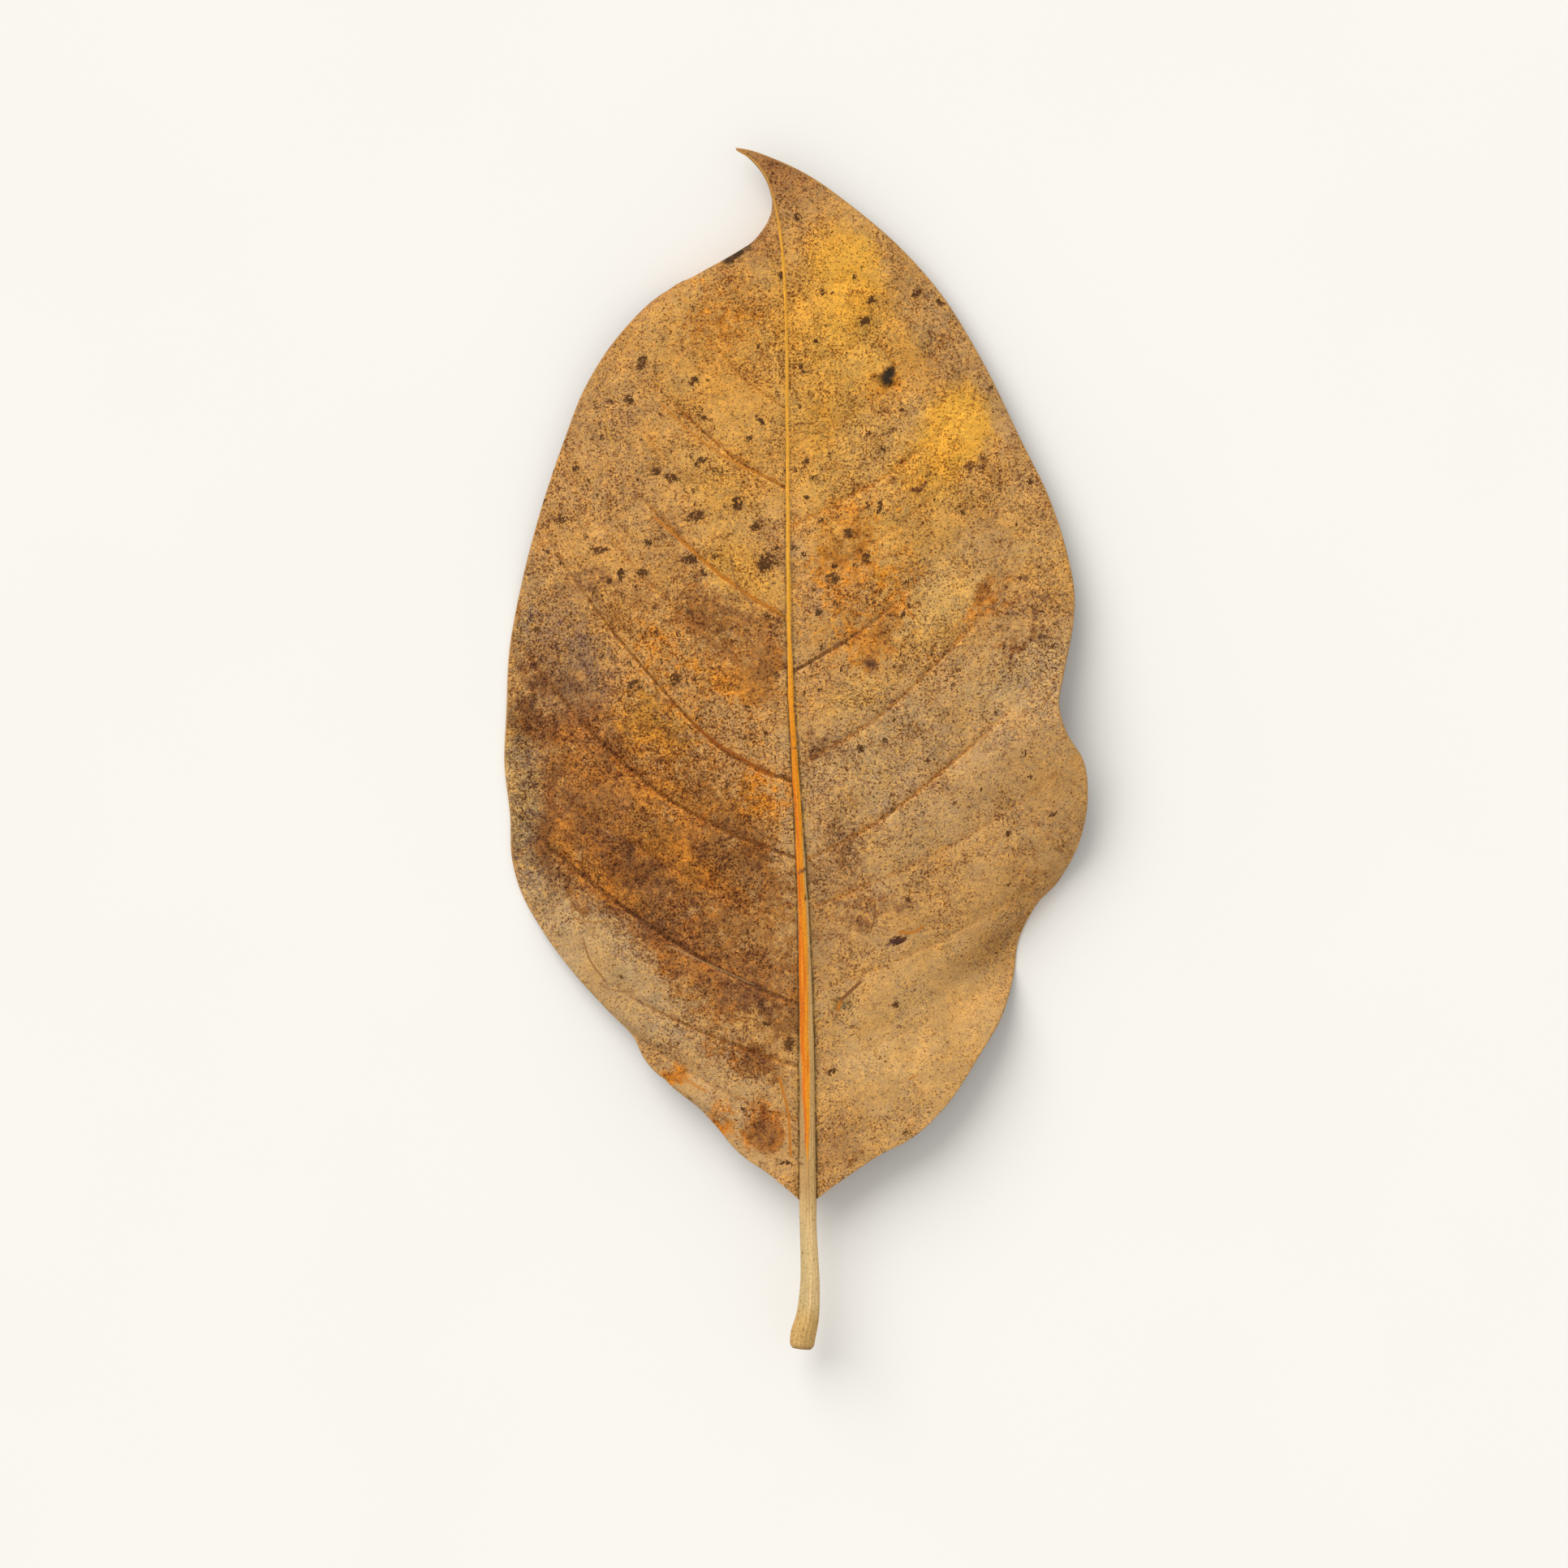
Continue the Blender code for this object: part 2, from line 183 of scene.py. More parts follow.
# How far the margin lies below the midrib, at fractions of the midrib's length
RIGHT_DROP = (
    (0.0, 0.0), (0.1, 1.2), (0.2, 2.0), (0.35, 3.0), (0.5, 4.2),
    (0.7, 4.6), (0.85, 2.4), (0.95, 0.6), (1.0, 0.05),
)
LEFT_DROP = (
    (0.0, 0.0), (0.08, 4.2), (0.125, 6.4), (0.2, 11.2), (0.28, 9.2), (0.4, 6.6),
    (0.6, 5.0), (0.7, 3.0), (0.78, 0.8), (0.87, 0.0), (1.0, 0.0),
)
DROP_POWER = 1.9

# Waves of the margins: place along the margin's length, height, half length as a share of the margin
RIGHT_WAVES = ((0.278, -9.6, 0.058), (0.455, 3.2, 0.045))
LEFT_WAVES = ((0.10, -0.8, 0.02), (0.15, 0.9, 0.02), (0.2, -0.8, 0.02), (0.415, 1.4, 0.03))
WAVE_POWER = 2.6

# The left half near the tip, rolled under: how far it has turned at its margin, in degrees, for shares
# of the midrib, the radius of the roll, where along the midrib the margin passes out of sight, and the
# angle from the midrib that the half swings to between two shares of it
ROLL_TURN = (
    (0.0, 0.0), (0.56, 0.0), (0.62, 8.0), (0.68, 35.0), (0.74, 85.0), (0.8, 145.0), (0.86, 205.0),
    (0.915, 245.0), (0.94, 205.0), (0.965, 140.0), (0.985, 105.0), (1.0, 91.0),
)
ROLL_RADIUS = 2.95
OUT_OF_SIGHT = 0.938
SIDE_ANGLE = 52.0
TURNED_FROM = 0.84
TURNED_AT = OUT_OF_SIGHT - 0.02

# Side veins: millimetres along the midrib where each one leaves it and where its course lies a quarter, half
# and the whole of the way out; how plain it is near the midrib, halfway and at the margin, where a value
# below zero ends it before the margin; and how dark it is, from orange at 0 to deep brown at 1
VEIN_STATIONS = (0.0, 0.25, 0.5, 1.0)
VEIN_SLANT = 0.72
RIGHT_VEINS = (
    (9.0, 9.0, 9.0, 9.0, 0.10, 0.05, 0.0, 0.3),
    (20.5, 20.5, 20.5, 20.5, 0.15, 0.10, 0.0, 0.3),
    (32.0, 32.0, 32.0, 32.0, 0.20, 0.25, 0.1, 0.4),
    (44.4, 44.2, 43.8, 43.0, 0.45, 0.30, 0.1, 0.3),
    (51.7, 52.4, 54.2, 57.0, 0.65, 0.80, -0.3, 0.5),
    (66.4, 67.2, 69.6, 72.5, 0.55, 0.70, -0.9, 0.5),
    (80.6, 81.0, 82.4, 84.0, 1.20, 0.10, -0.5, 0.9),
    (93.2, 93.0, 92.9, 93.0, 0.35, 0.35, -0.3, 0.4),
    (102.8, 102.5, 101.8, 102.0, 0.75, 0.50, -0.2, 0.1),
    (115.0, 115.0, 115.0, 115.0, 0.25, 0.20, 0.1, 0.3),
    (126.0, 126.0, 126.0, 126.0, 0.20, 0.10, 0.0, 0.3),
    (136.5, 136.5, 136.5, 136.5, 0.15, 0.10, 0.0, 0.3),
    (146.0, 146.0, 146.0, 146.0, 0.10, 0.05, 0.0, 0.3),
)
LEFT_VEINS = (
    (4.6, 4.6, 4.6, 4.4, 0.20, 0.10, 0.0, 0.5),
    (12.0, 11.6, 11.6, 12.0, 0.45, 0.35, 0.1, 0.5),
    (20.2, 20.6, 20.6, 20.2, 0.85, 0.80, -0.9, 0.8),
    (29.6, 30.4, 31.3, 32.4, 0.70, 1.00, 0.3, 1.0),
    (42.0, 40.7, 39.8, 37.0, 0.40, 0.55, 0.1, 0.8),
    (52.1, 49.5, 48.2, 49.3, 0.90, 1.00, 0.3, 0.8),
    (63.8, 61.0, 62.6, 64.6, 1.30, 1.20, 0.2, 0.75),
    (77.3, 76.6, 76.5, 77.0, 0.30, 0.45, 0.2, 0.5),
    (88.7, 88.3, 88.8, 89.2, 0.95, 0.90, -1.0, 0.5),
    (99.5, 99.5, 99.5, 99.5, 0.20, 0.15, 0.1, 0.3),
    (108.7, 108.6, 109.3, 110.0, 0.90, 0.80, -0.5, 0.6),
    (120.9, 122.0, 124.6, 127.0, 0.60, 0.60, -0.6, 0.4),
    (133.0, 133.0, 133.0, 133.0, 0.20, 0.10, 0.0, 0.3),
    (143.0, 143.0, 143.0, 143.0, 0.10, 0.05, 0.0, 0.3),
)

# Tones of the blade's upper face, then of its lines and crumbs with the painted shade of the crease beside
# the midrib, underside, midrib and petiole, and the floor
TONES = {
    "tan": (195, 147, 86),
    "clean": (200, 156, 96),
    "pale": (184, 148, 100),
    "ochre": (205, 150, 72),
    "gold": (213, 157, 68),
    "grey tan": (178, 136, 84),
    "grey beige": (190, 156, 106),
    "yellow": (224, 162, 60),
    "bright": (212, 164, 92),
    "orange": (196, 120, 36),
    "sienna": (158, 84, 22),
    "amber": (230, 150, 46),
    "rust": (166, 112, 56),
    "umber": (146, 98, 56),
    "brown": (126, 80, 44),
    "violet": (160, 124, 88),
    "dark": (70, 48, 26),
    "purple": (92, 60, 46),
    "plum": (124, 86, 60),
    "olive": (112, 94, 54),
    "black": (58, 46, 34),
    "pale vein": (214, 134, 38),
    "dark vein": (92, 54, 24),
    # painted shade: the dark line in the crease beside the midrib
    "crease": (82, 60, 30),
    "rim": (196, 148, 84),
    "crumb": (62, 40, 16),
    "pale crumb": (106, 66, 34),
    "felt": (152, 100, 60),
    "felt on veins": (176, 128, 80),
    "core": (244, 156, 24),
    "golden core": (240, 172, 52),
    "core at tip": (196, 142, 70),
    "red core": (222, 102, 6),
    "flank": (196, 156, 98),
    "lit flank": (228, 186, 118),
    "petiole": (244, 208, 144),
    "shaded petiole": (190, 166, 112),
    "petiole end": (214, 170, 96),
    "cut": (150, 110, 62),
    "midrib fleck": (112, 78, 56),
    "floor": (251, 248, 241),
    "floor dip": (250, 247, 240),
}

# Ground of the blade: tone, oval, strength
AREAS = (
    ("ochre", -2, 128, 24, 17, 0, 0.7, 0.9),
    ("gold", 7, 133, 10, 15, 0, 0.6, 0.8),
    ("grey tan", 24, 131, 21, 4, -54, 0.6, 0.6),
    ("umber", -3.5, 157.5, 7.5, 3.5, -35, 0.6, 0.7),
    ("brown", -1.0, 158.4, 7.0, 1.1, -25, 0.8, 0.5),
    ("umber", -38, 108, 20, 3, 70, 0.7, 0.4),
    ("umber", -25, 136, 10, 2.5, 38, 0.7, 0.4),
    ("umber", -6.5, 146.5, 6, 3, 36, 0.6, 0.45),
    ("tan", -30, 112, 17, 8, 65, 0.6, 0.9),
    ("ochre", -10, 118, 12, 10, 0, 0.6, 0.5),
    ("gold", 17, 106, 10, 7, 30, 0.7, 0.5),
    ("bright", 14, 96, 5, 6, 0, 0.7, 0.4),
    ("tan", 22, 98, 8, 6, 40, 0.6, 0.6),
    ("bright", 37, 98, 4, 8, 20, 0.6, 0.5),
    ("grey beige", 18, 66, 22, 14, 38, 0.6, 0.5),
    ("grey beige", 36, 80, 8, 6, 40, 0.6, 0.9),
    ("grey tan", 34, 63, 14, 13, 0, 0.7, 0.65),
    ("grey tan", 5, 46, 5, 14, 0, 0.5, 0.7),
    ("tan", 22, 42, 14, 9, 38, 0.6, 0.8),
    ("clean", 19, 25, 17, 12, 38, 0.6, 0.9),
    ("tan", 10, 10, 10, 7, 35, 0.6, 0.6),
    ("ochre", -24, 92, 16, 10, 150, 0.7, 0.35),
    ("pale", -29, 36.5, 18, 7, 138, 0.3, 0.85),
    ("pale", -14, 15.5, 14, 8, 135, 0.5, 0.6),
    ("gold", 5, 113, 5, 12, 0, 0.6, 0.6),
    ("gold", 22, 103, 12, 8, 35, 0.6, 0.4),
    ("gold", -8, 96.5, 7, 4, 140, 0.6, 0.8),
    ("gold", -10, 108, 6, 6, 0, 0.6, 0.5),
    ("bright", 20.5, 90, 9.5, 6, 45, 0.6, 1.0),
    ("bright", 9, 77.5, 5, 3, 30, 0.6, 0.8),
    ("bright", 14, 114, 6, 8, 0, 0.7, 0.6),
    ("yellow", 6.5, 144, 4.5, 5, 0, 0.6, 0.95),
    ("yellow", 8, 138.5, 3.4, 6.5, -12, 0.6, 0.9),
    ("yellow", 3, 135, 6, 5, 0, 0.8, 0.4),
    ("yellow", 24.5, 118, 7.5, 4.8, 65, 0.4, 1.0),
    ("yellow", 20, 112.5, 5.5, 4.6, 20, 0.5, 0.75),
    ("grey tan", 31, 122, 5, 2.6, -62, 0.6, 0.7),
    ("grey tan", 29, 100, 4, 4, 0, 0.7, 0.6),
    ("umber", 6, 8, 4, 3, 40, 0.7, 0.4),
)

# How the ground varies in depth and in warmth, and what warmth adds to red, green and blue
GROUND_DEPTH = 1.11
GROUND_DEPTH_LAYERS = ((0.07, 9.0, 10), (0.09, 3.1, 11), (0.11, 1.3, 12))
GROUND_WARMTH_LAYERS = ((0.10, 4.3, 13), (0.10, 1.7, 14))
GROUND_WARM = (0.25, -0.1, -0.9)

# How far the edges of areas and stains wander
WANDER_X = ((0.9, 6.0, 3), (0.7, 2.2, 4), (0.4, 0.9, 5))
WANDER_Y = ((0.9, 6.0, 6), (0.7, 2.2, 7), (0.4, 0.9, 8))

# Stains, whose edges break up into specks, in the same terms as the ground
STAINS = (
    ("rust", 39, 52, 8, 10, 0, 0.7, 0.3),
    ("umber", -24, 100.5, 8, 7, 0, 0.8, 0.25),
    ("umber", -13, 101, 7, 6, 0, 0.8, 0.2),
    ("umber", 33, 100.5, 6, 7, 0, 0.8, 0.3),
    ("rust", -13, 134, 7, 5, 20, 0.8, 0.25),
    ("rust", -24.5, 78, 6, 6, 0, 0.8, 0.35),
    ("amber", 10, 89, 6, 6, 0, 0.8, 0.3),
    ("amber", -11, 134, 9, 7, 150, 0.8, 0.2),
    ("amber", 9.5, 95, 8, 13, 0, 0.8, 0.55),
    ("rust", -24, 58, 24, 14, 150, 0.5, 0.8),
    ("amber", -15, 80, 18, 9, 150, 0.6, 0.22),
    ("umber", -36, 62, 9, 14, 0, 0.5, 0.7),
    ("violet", -34.5, 84.5, 6, 10, 10, 0.8, 0.6),
    ("brown", -40.5, 79.5, 2.4, 5, 0, 0.7, 0.45),
    ("rust", -11, 88.5, 8, 5, 140, 0.7, 0.7),
    ("rust", -6, 82, 4.5, 6, 0, 0.6, 0.85),
    ("brown", -12, 87, 3.5, 1.8, 130, 0.9, 0.45),
    ("umber", -26, 91.5, 10, 4, 155, 0.7, 0.4),
    ("amber", -28, 62.5, 9, 5, 150, 0.7, 0.15),
    ("amber", -33, 70, 5, 4, 150, 0.7, 0.2),
    ("amber", -33.5, 54, 5.5, 3, 140, 0.7, 0.4),
    ("amber", -20, 62, 6, 4, 150, 0.7, 0.3),
    ("gold", -22, 72.5, 6, 4, 150, 0.7, 0.4),
    ("amber", -5.5, 62, 5, 4, 0, 0.7, 0.5),
    ("rust", -33.7, 45.3, 3.2, 1.2, -52, 0.6, 0.8),
    ("plum", -18, 41.5, 15, 4.5, 148, 0.7, 0.6),
    ("plum", -9, 33, 9, 4, 160, 0.7, 0.45),
    ("umber", 6, 54.5, 5, 6, 0, 0.8, 0.5),
    ("umber", 10.5, 42.5, 7, 5, 40, 0.8, 0.5),
    ("rust", 13, 86.5, 4, 5, -20, 0.7, 0.5),
    ("plum", 36, 88, 6, 6, 0, 0.9, 0.35),
    ("brown", -15, 41, 17, 5.5, 150, 0.5, 0.5),
    ("rust", -16, 45, 18, 8, 150, 0.6, 0.6),
    ("rust", -9, 32, 12, 7, 155, 0.5, 0.75),
    ("amber", -9, 136, 7.5, 3.6, 150, 0.8, 0.15),
    ("rust", 8, 99, 4, 6, 0, 0.7, 0.4),
    ("dark", -9.6, 145.0, 3.2, 1.5, 30, 0.8, 0.8),
    ("amber", 14, 125.5, 3.6, 3.4, 0, 0.8, 0.6),
    ("black", 14, 126.4, 1.7, 1.6, 0, 0.5, 1.0),
    ("brown", 26.9, 112.4, 2.4, 0.7, 30, 0.5, 0.6),
    ("brown", 19.6, 109.1, 1.6, 0.5, 20, 0.5, 0.8),
    ("purple", 11.1, 81.9, 1.2, 1.2, 0, 0.6, 0.8),
    ("plum", 4.6, 70, 3.6, 2.6, 20, 0.7, 0.6),
    ("rust", 28.6, 91.2, 2.8, 3.4, 0, 0.9, 0.65),
    ("brown", 28.4, 91.9, 1.5, 1.5, 60, 0.7, 0.7),
    ("amber", 24.5, 86.5, 9, 2.5, 42, 0.9, 0.3),
    ("rust", 32, 84, 6, 1.6, 30, 0.6, 0.4),
    ("amber", -20, 84, 9, 3, 150, 0.6, 0.2),
    ("amber", -23, 71, 7, 3, 150, 0.6, 0.3),
    ("amber", -10, 79, 5, 2.6, 150, 0.6, 0.3),
    ("brown", -27, 52.5, 9, 2.4, 148, 0.5, 0.5),
    ("amber", -30, 49, 7, 2.2, 140, 0.6, 0.3),
    ("amber", -18, 52, 8, 2.4, 150, 0.6, 0.3),
    ("rust", -7, 50, 6, 3, 120, 0.6, 0.4),
    ("umber", -26.9, 60.6, 1.8, 1.1, 0, 0.5, 0.8),
    ("brown", -7, 31, 5.5, 2.6, 165, 0.5, 0.7),
    ("rust", -8.5, 21.6, 6.5, 2.8, 157, 0.7, 0.8),
    ("brown", -5.5, 20.2, 4.2, 1.8, 160, 0.8, 0.6),
    ("orange", -18.7, 19.6, 2.4, 1.5, 160, 0.4, 0.7),
    ("orange", -11.2, 12.4, 2.0, 3.2, 0, 0.4, 0.7),
    ("orange", -5.2, 11, 4.0, 4.4, 0, 0.3, 0.55),
    ("umber", -4.9, 10.6, 2.8, 3.2, 0, 0.5, 0.75),
    ("violet", -31.5, 81, 4, 5, 30, 0.7, 0.3),
    ("pale", -41.8, 92, 1.6, 8, -6, 0.5, 0.6),
    ("brown", -39.0, 57.5, 2.2, 6, 0, 0.6, 0.6),
    ("grey beige", -43.0, 63, 3.4, 9, 2, 0.5, 1.0),
    ("pale", -40.8, 48.5, 4, 2.4, -60, 0.6, 0.8),
    ("umber", -32, 74, 7, 2.6, 130, 0.6, 0.5),
    ("rust", 9, 6, 3, 1.2, 30, 0.6, 0.5),
    ("brown", -4, 51, 3, 4, 0, 0.6, 0.15),
    ("umber", -3.5, 5.5, 2, 3, 0, 0.7, 0.25),
    ("purple", 15.2, 39.4, 1.1, 0.9, 60, 0.3, 0.95),
    ("olive", 7, 30.8, 1.6, 1.2, 30, 0.5, 0.5),
    ("grey beige", -15.8, 44.1, 1.6, 0.4, 20, 0.4, 0.7),
)

# How the stains vary, in the same terms as the ground, and how thickly they lie
STAIN_DEPTH_LAYERS = ((0.16, 5.2, 3), (0.16, 2.4, 4))
STAIN_WARMTH_LAYERS = ((0.16, 3.7, 5), (0.12, 1.9, 6))
STAIN_WARM = (0.3, -0.1, -1.0)
STAIN_COOLEST = -0.08
STAIN_THICKNESS = 0.88
STAIN_THICKNESS_LAYERS = ((0.3, 3.3, 7),)

# Dark crumbs of dirt: ovals without their softness
CRUMBS = (
    (-4.4, 97.5, 1.7, 1.3, 60), (-15.4, 104.4, 1.5, 0.9, 20), (-19.1, 110.4, 1.3, 0.7, -20),
    (-21.3, 111.3, 0.8, 0.6, 0), (-11.6, 111.3, 1.4, 0.5, -15), (-14.4, 112.9, 1.1, 0.5, 30),
    (-16.0, 97.9, 1.4, 0.8, 0), (-30.0, 99.4, 2.0, 0.5, 0), (-26.6, 95.6, 0.5, 1.7, 0),
    (-23.5, 128.1, 1.5, 0.8, 70), (-25.4, 122.3, 0.9, 0.7, 0), (-15.5, 125.1, 0.9, 0.6, 30),
    (-8.8, 106.3, 0.9, 1.1, 0), (-6.0, 102.9, 1.0, 0.7, 30), (-36.0, 104.1, 0.8, 0.7, 0),
    (-22.5, 100.4, 0.9, 0.6, 40), (-23.3, 95.9, 1.1, 0.7, 0), (-18.3, 79.6, 1.2, 0.9, 20),
    (-24.4, 78.8, 1.1, 0.9, 0), (11.5, 137.5, 0.8, 0.8, 0), (10.6, 134.4, 1.0, 0.6, 30),
    (18.4, 138.8, 0.9, 0.6, 20), (22.2, 137.3, 0.8, 0.5, -30), (8.1, 101.9, 0.9, 0.8, 0),
    (10.9, 98.1, 0.9, 0.8, 0), (5.6, 95.0, 1.1, 0.9, 0), (15.3, 29.9, 0.7, 0.6, 0),
    (5.6, 19.8, 0.8, 0.6, 20), (-7.4, 41.0, 0.5, 0.5, 0), (-0.9, 23.9, 0.9, 1.3, 0),
    (-1.6, 5.8, 1.4, 0.4, -10),
)
CRUMB_SOFTNESS = 0.6
CRUMB_REACH = 2.2

# Small crumbs strewn by chance: how many, where, their half length and its share across, how likely one is
# anywhere, the ovals where more lie and how many more, and the oval where few lie
CRUMB_SEED = 11
SMALL_CRUMBS = 280
STREWN_X = (-44, 44)
STREWN_Y = (2, 156)
SMALL_CRUMB_SIZES = (0.28, 0.7)
SMALL_CRUMB_SHAPES = (0.4, 0.9)
CRUMBS_ANYWHERE = 0.22
MORE_CRUMBS = ((-17, 98, 24, 34, 90, 0.7, 0.78), (14, 118, 32, 18, 90, 0.6, 0.2))
FEW_CRUMBS = (24, 30, 30, 22, 40, 0.5)
CRUMBS_MISSING = 0.9

# Fine dark grain: how thick it lies anywhere, at most and in clusters, and the ovals with less or more
GRAIN_ANYWHERE = 0.85
GRAIN_MOST = 1.4
GRAIN_LAYERS = ((0.35, 5.0, 2), (0.3, 2.3, 9))
CLEAN_OVALS = (
    (22, 28, 22, 20, 38, 0.6), (-31, 35, 17, 6, 138, 0.5),
    (34, 57, 16, 15, 60, 0.7), (-13, 13, 14, 6, 140, 0.6),
)
CLEAN_SHARE = 0.5
YELLOW_OVALS = ((24, 118, 7, 5, 60, 0.6), (7, 142, 4.5, 7, 0, 0.6))
YELLOW_SHARE = 0.55
DARK_OVALS = ((-24, 62, 26, 24, 150, 0.6),)
DARK_SHARE = 0.2

# Felt of the underside
FELT_LAYERS = ((0.12, 8.0, 4), (0.1, 2.0, 5))
FELT_ON_VEINS = 0.5

# Marks on the midrib: tone, and oval without its softness
RIB_MARKS = (
    ("brown", 1.3, 50.5, 1.1, 0.28, 30),
    ("brown", 0.0, 69.1, 0.5, 0.2, 15),
    ("dark", 1.5, 46.2, 0.2, 0.35, 0),
    ("brown", 0.6, 5.7, 0.7, 0.25, -10),
)

# Fine threads and cracks across the blade: tone, half width, strength, and the points that they pass
THREADS = (
    ("orange", 0.2, 0.9, ((-2.5, 18.8), (-1.3, 14.4), (-0.7, 6.9))),
    ("sienna", 0.26, 0.7, ((-3.4, 64.6), (-8, 67.4), (-12.5, 70.1), (-15.5, 72.9))),
    ("orange", 0.2, 0.8, ((-21.5, 104.4), (-15.5, 98.9), (-10, 94.4), (-5.5, 91.4), (-2.6, 89.9))),
    ("orange", 0.18, 0.6, ((-20.5, 121.7), (-13.8, 115.6), (-8, 112), (-3.2, 110))),
    ("grey beige", 0.12, 0.35, ((-19.5, 38.9), (-12.9, 35.9), (-6.4, 33.0))),
    ("orange", 0.25, 0.6, ((-17.5, 19.0), (-15.5, 17.6), (-13.6, 16.6))),
    ("rust", 0.14, 0.7, ((-34.3, 46.5), (-33.9, 43.2), (-31.0, 42.4), (-28.6, 42.8))),
    ("umber", 0.14, 0.8, ((-32.5, 40), (-31.3, 36.3), (-28.8, 33.1))),
    ("brown", 0.15, 0.8, ((12.1, 45.6), (12.0, 43), (11.5, 41.3))),
    ("brown", 0.26, 0.9, ((6.9, 30.6), (8.8, 32.4), (10, 33.5))),
    ("orange", 0.3, 0.8, ((6.4, 29.2), (6.8, 30.3))),
    ("orange", 0.2, 0.9, ((15.9, 41.0), (18.1, 41), (19.4, 41.9))),
    ("orange", 0.12, 0.9, ((17.1, 18.4), (18.4, 19.1))),
    ("rust", 0.15, 0.6, ((35, 76.5), (37, 78.8), (38.5, 80.5))),
    ("rust", 0.15, 0.5, ((37, 74.5), (38.5, 76.5), (39.4, 78.2))),
    ("gold", 0.2, 0.5, ((-29.4, 120.6), (-28.4, 117), (-27.5, 114.4))),
    ("rust", 0.2, 0.6, ((-18.8, 89.9), (-14, 86.4), (-9.4, 82.9))),
    ("umber", 0.14, 0.7, ((-10.0, 98.8), (-9.0, 94), (-6.5, 89.8), (-7.5, 88.5))),
    ("umber", 0.14, 0.5, ((-29.5, 32.5), (-26.4, 31.8), (-24, 32))),
)

# How finely a thread is divided, how it fades past its ends, and what stands for a place far from any
THREAD_STEPS = 6
THREAD_END = 1.2
THREAD_FADE = 2.5
NO_THREAD = 9.0
NO_THREAD_WIDTH = 0.1

# Midrib's colours: half width and middle of its core as shares of the radius, by y; where tones come in,
# as the y that they start at and the way to their full strength; and how strong they are
CORE_HALF_WIDTH = ((-30, -0.3), (5, 0.0), (9, 0.25), (22, 0.5), (34, 0.68), (50, 0.72), (66, 1.3))
CORE_MIDDLE = ((9, -0.05), (34, -0.22), (60, -0.15))
CORE_EDGE = 0.22
CORE_CHANGES = (("golden core", 72, 22, 1.0), ("core at tip", 146, 8, 0.8))
RED_FROM = (82, -20)
RED_MIDDLE = 0.2
RED_LEAN = 1.2
RED_STRENGTH = 0.75
FLANK_LIGHT = 1.5
PETIOLE_FROM = (3, -9)
PETIOLE_STRENGTH = 0.95
PETIOLE_SHADE = 0.7
PETIOLE_CHANGES = (("petiole end", -15, -4, 0.8), ("cut", -22.1, -0.6, 0.6))
RIB_MARK_SOFTNESS = 0.4
RIB_MARK_STRENGTH = 0.85

# Stains and grain in the shader: noise, and what pale and dark places do to red, green and blue
STAIN_BREAK = 1.8
STAIN_LUMPS = (0.75, 4.0, 0.75)
STAIN_EDGE = (0.2, 0.72)
STAIN_MOTTLE = (0.8, 3.0, 0.65, 0.4)
STAIN_PALE = (1.32, 1.27, 1.02)
STAIN_DARK = (0.58, 0.52, 0.60)
CELLS = (2.7, 2.0, 0.6)
CELL_PALE = (1.20, 1.16, 0.97)
CELL_DARK = (0.87, 0.90, 1.08)
CLOUDS = (1.0, 3.0, 0.65)
CLOUD_PALE = (1.15, 1.12, 1.0)
CLOUD_DARK = (0.86, 0.87, 0.96)
CURLS = (1.7, 2.0, 0.6, 1.2)
CURL_TINT = (0.46, 0.34, 0.28)

# Specks: how much more the grain brings, noise, where its specks start and are full, strength, tint
SMUDGES = (0.06, (0.9, 4.0, 0.75), (0.59, 0.69), 0.85, (0.62, 0.50, 0.46))
PEPPER = (0.09, (3.1, 2.0, 0.6), (0.63, 0.68), 0.9, (0.33, 0.22, 0.16))
FLECKS = (0.07, (1.7, 3.0, 0.7), (0.65, 0.69), 0.85, (0.36, 0.25, 0.18))

# Underside, midrib and petiole in the shader: noise, and what dark and pale places do to the colours
FELT = (3.0, 4.0, 0.75, 0.8)
FELT_DARK = (0.45, 0.38, 0.34)
TUFTS = (0.8, 3.0, 0.6)
TUFT_PALE = (1.25, 1.2, 1.1)
FIBRES = (4.0, 4.0, 0.65)
FIBRE_DARK = (0.66, 0.5, 0.36)
FIBRE_PALE = (1.2, 1.18, 1.15)
RIB_GRAIN_DARK = (0.72, 0.7, 0.75)
RIB_FLECKS = (2.6, 2.0, 0.6)

# Lines and crumbs in the shader: what lines and the painted shade beside the midrib do to red, green and
# blue, and the crumbs' ragged edges
VEIN_STAIN_TINT = (0.70, 0.52, 0.40)
VEIN_LIT_TINT = (1.4, 1.36, 1.3)
# painted shade: how the strip beside the midrib is darkened
PAINTED_FLANK_SHADE = (0.74, 0.78, 0.74)
CRUMB_SPIKES = (1.4, 4.0, 0.8, 1.0)
SPIKE_LENGTH = 4.8

# Seed and size of the noise's lattices, and how far each seed moves the place that is read
LATTICE_SEED = 7
LATTICE_SHAPE = (16, 128, 128)
LATTICE_SHIFT = (13.7, 7.3)


def smooth_line(points, steps=12):
    """A dense line through the points, by spans whose tangents follow the points' spacing."""
    p = np.array(points, float)
    t = np.concatenate([[0], np.cumsum(np.linalg.norm(np.diff(p, axis=0), axis=1))])
    tangent = np.gradient(p, t, axis=0)
    line = []
    for k in range(len(p) - 1):
        s = np.linspace(0, 1, steps, endpoint=False)[:, None]
        span = t[k + 1] - t[k]
        line.append(
            (2 * s**3 - 3 * s**2 + 1) * p[k]
            + (s**3 - 2 * s**2 + s) * span * tangent[k]
            + (3 * s**2 - 2 * s**3) * p[k + 1]
            + (s**3 - s**2) * span * tangent[k + 1]
        )
    return np.vstack([*line, p[-1:]])


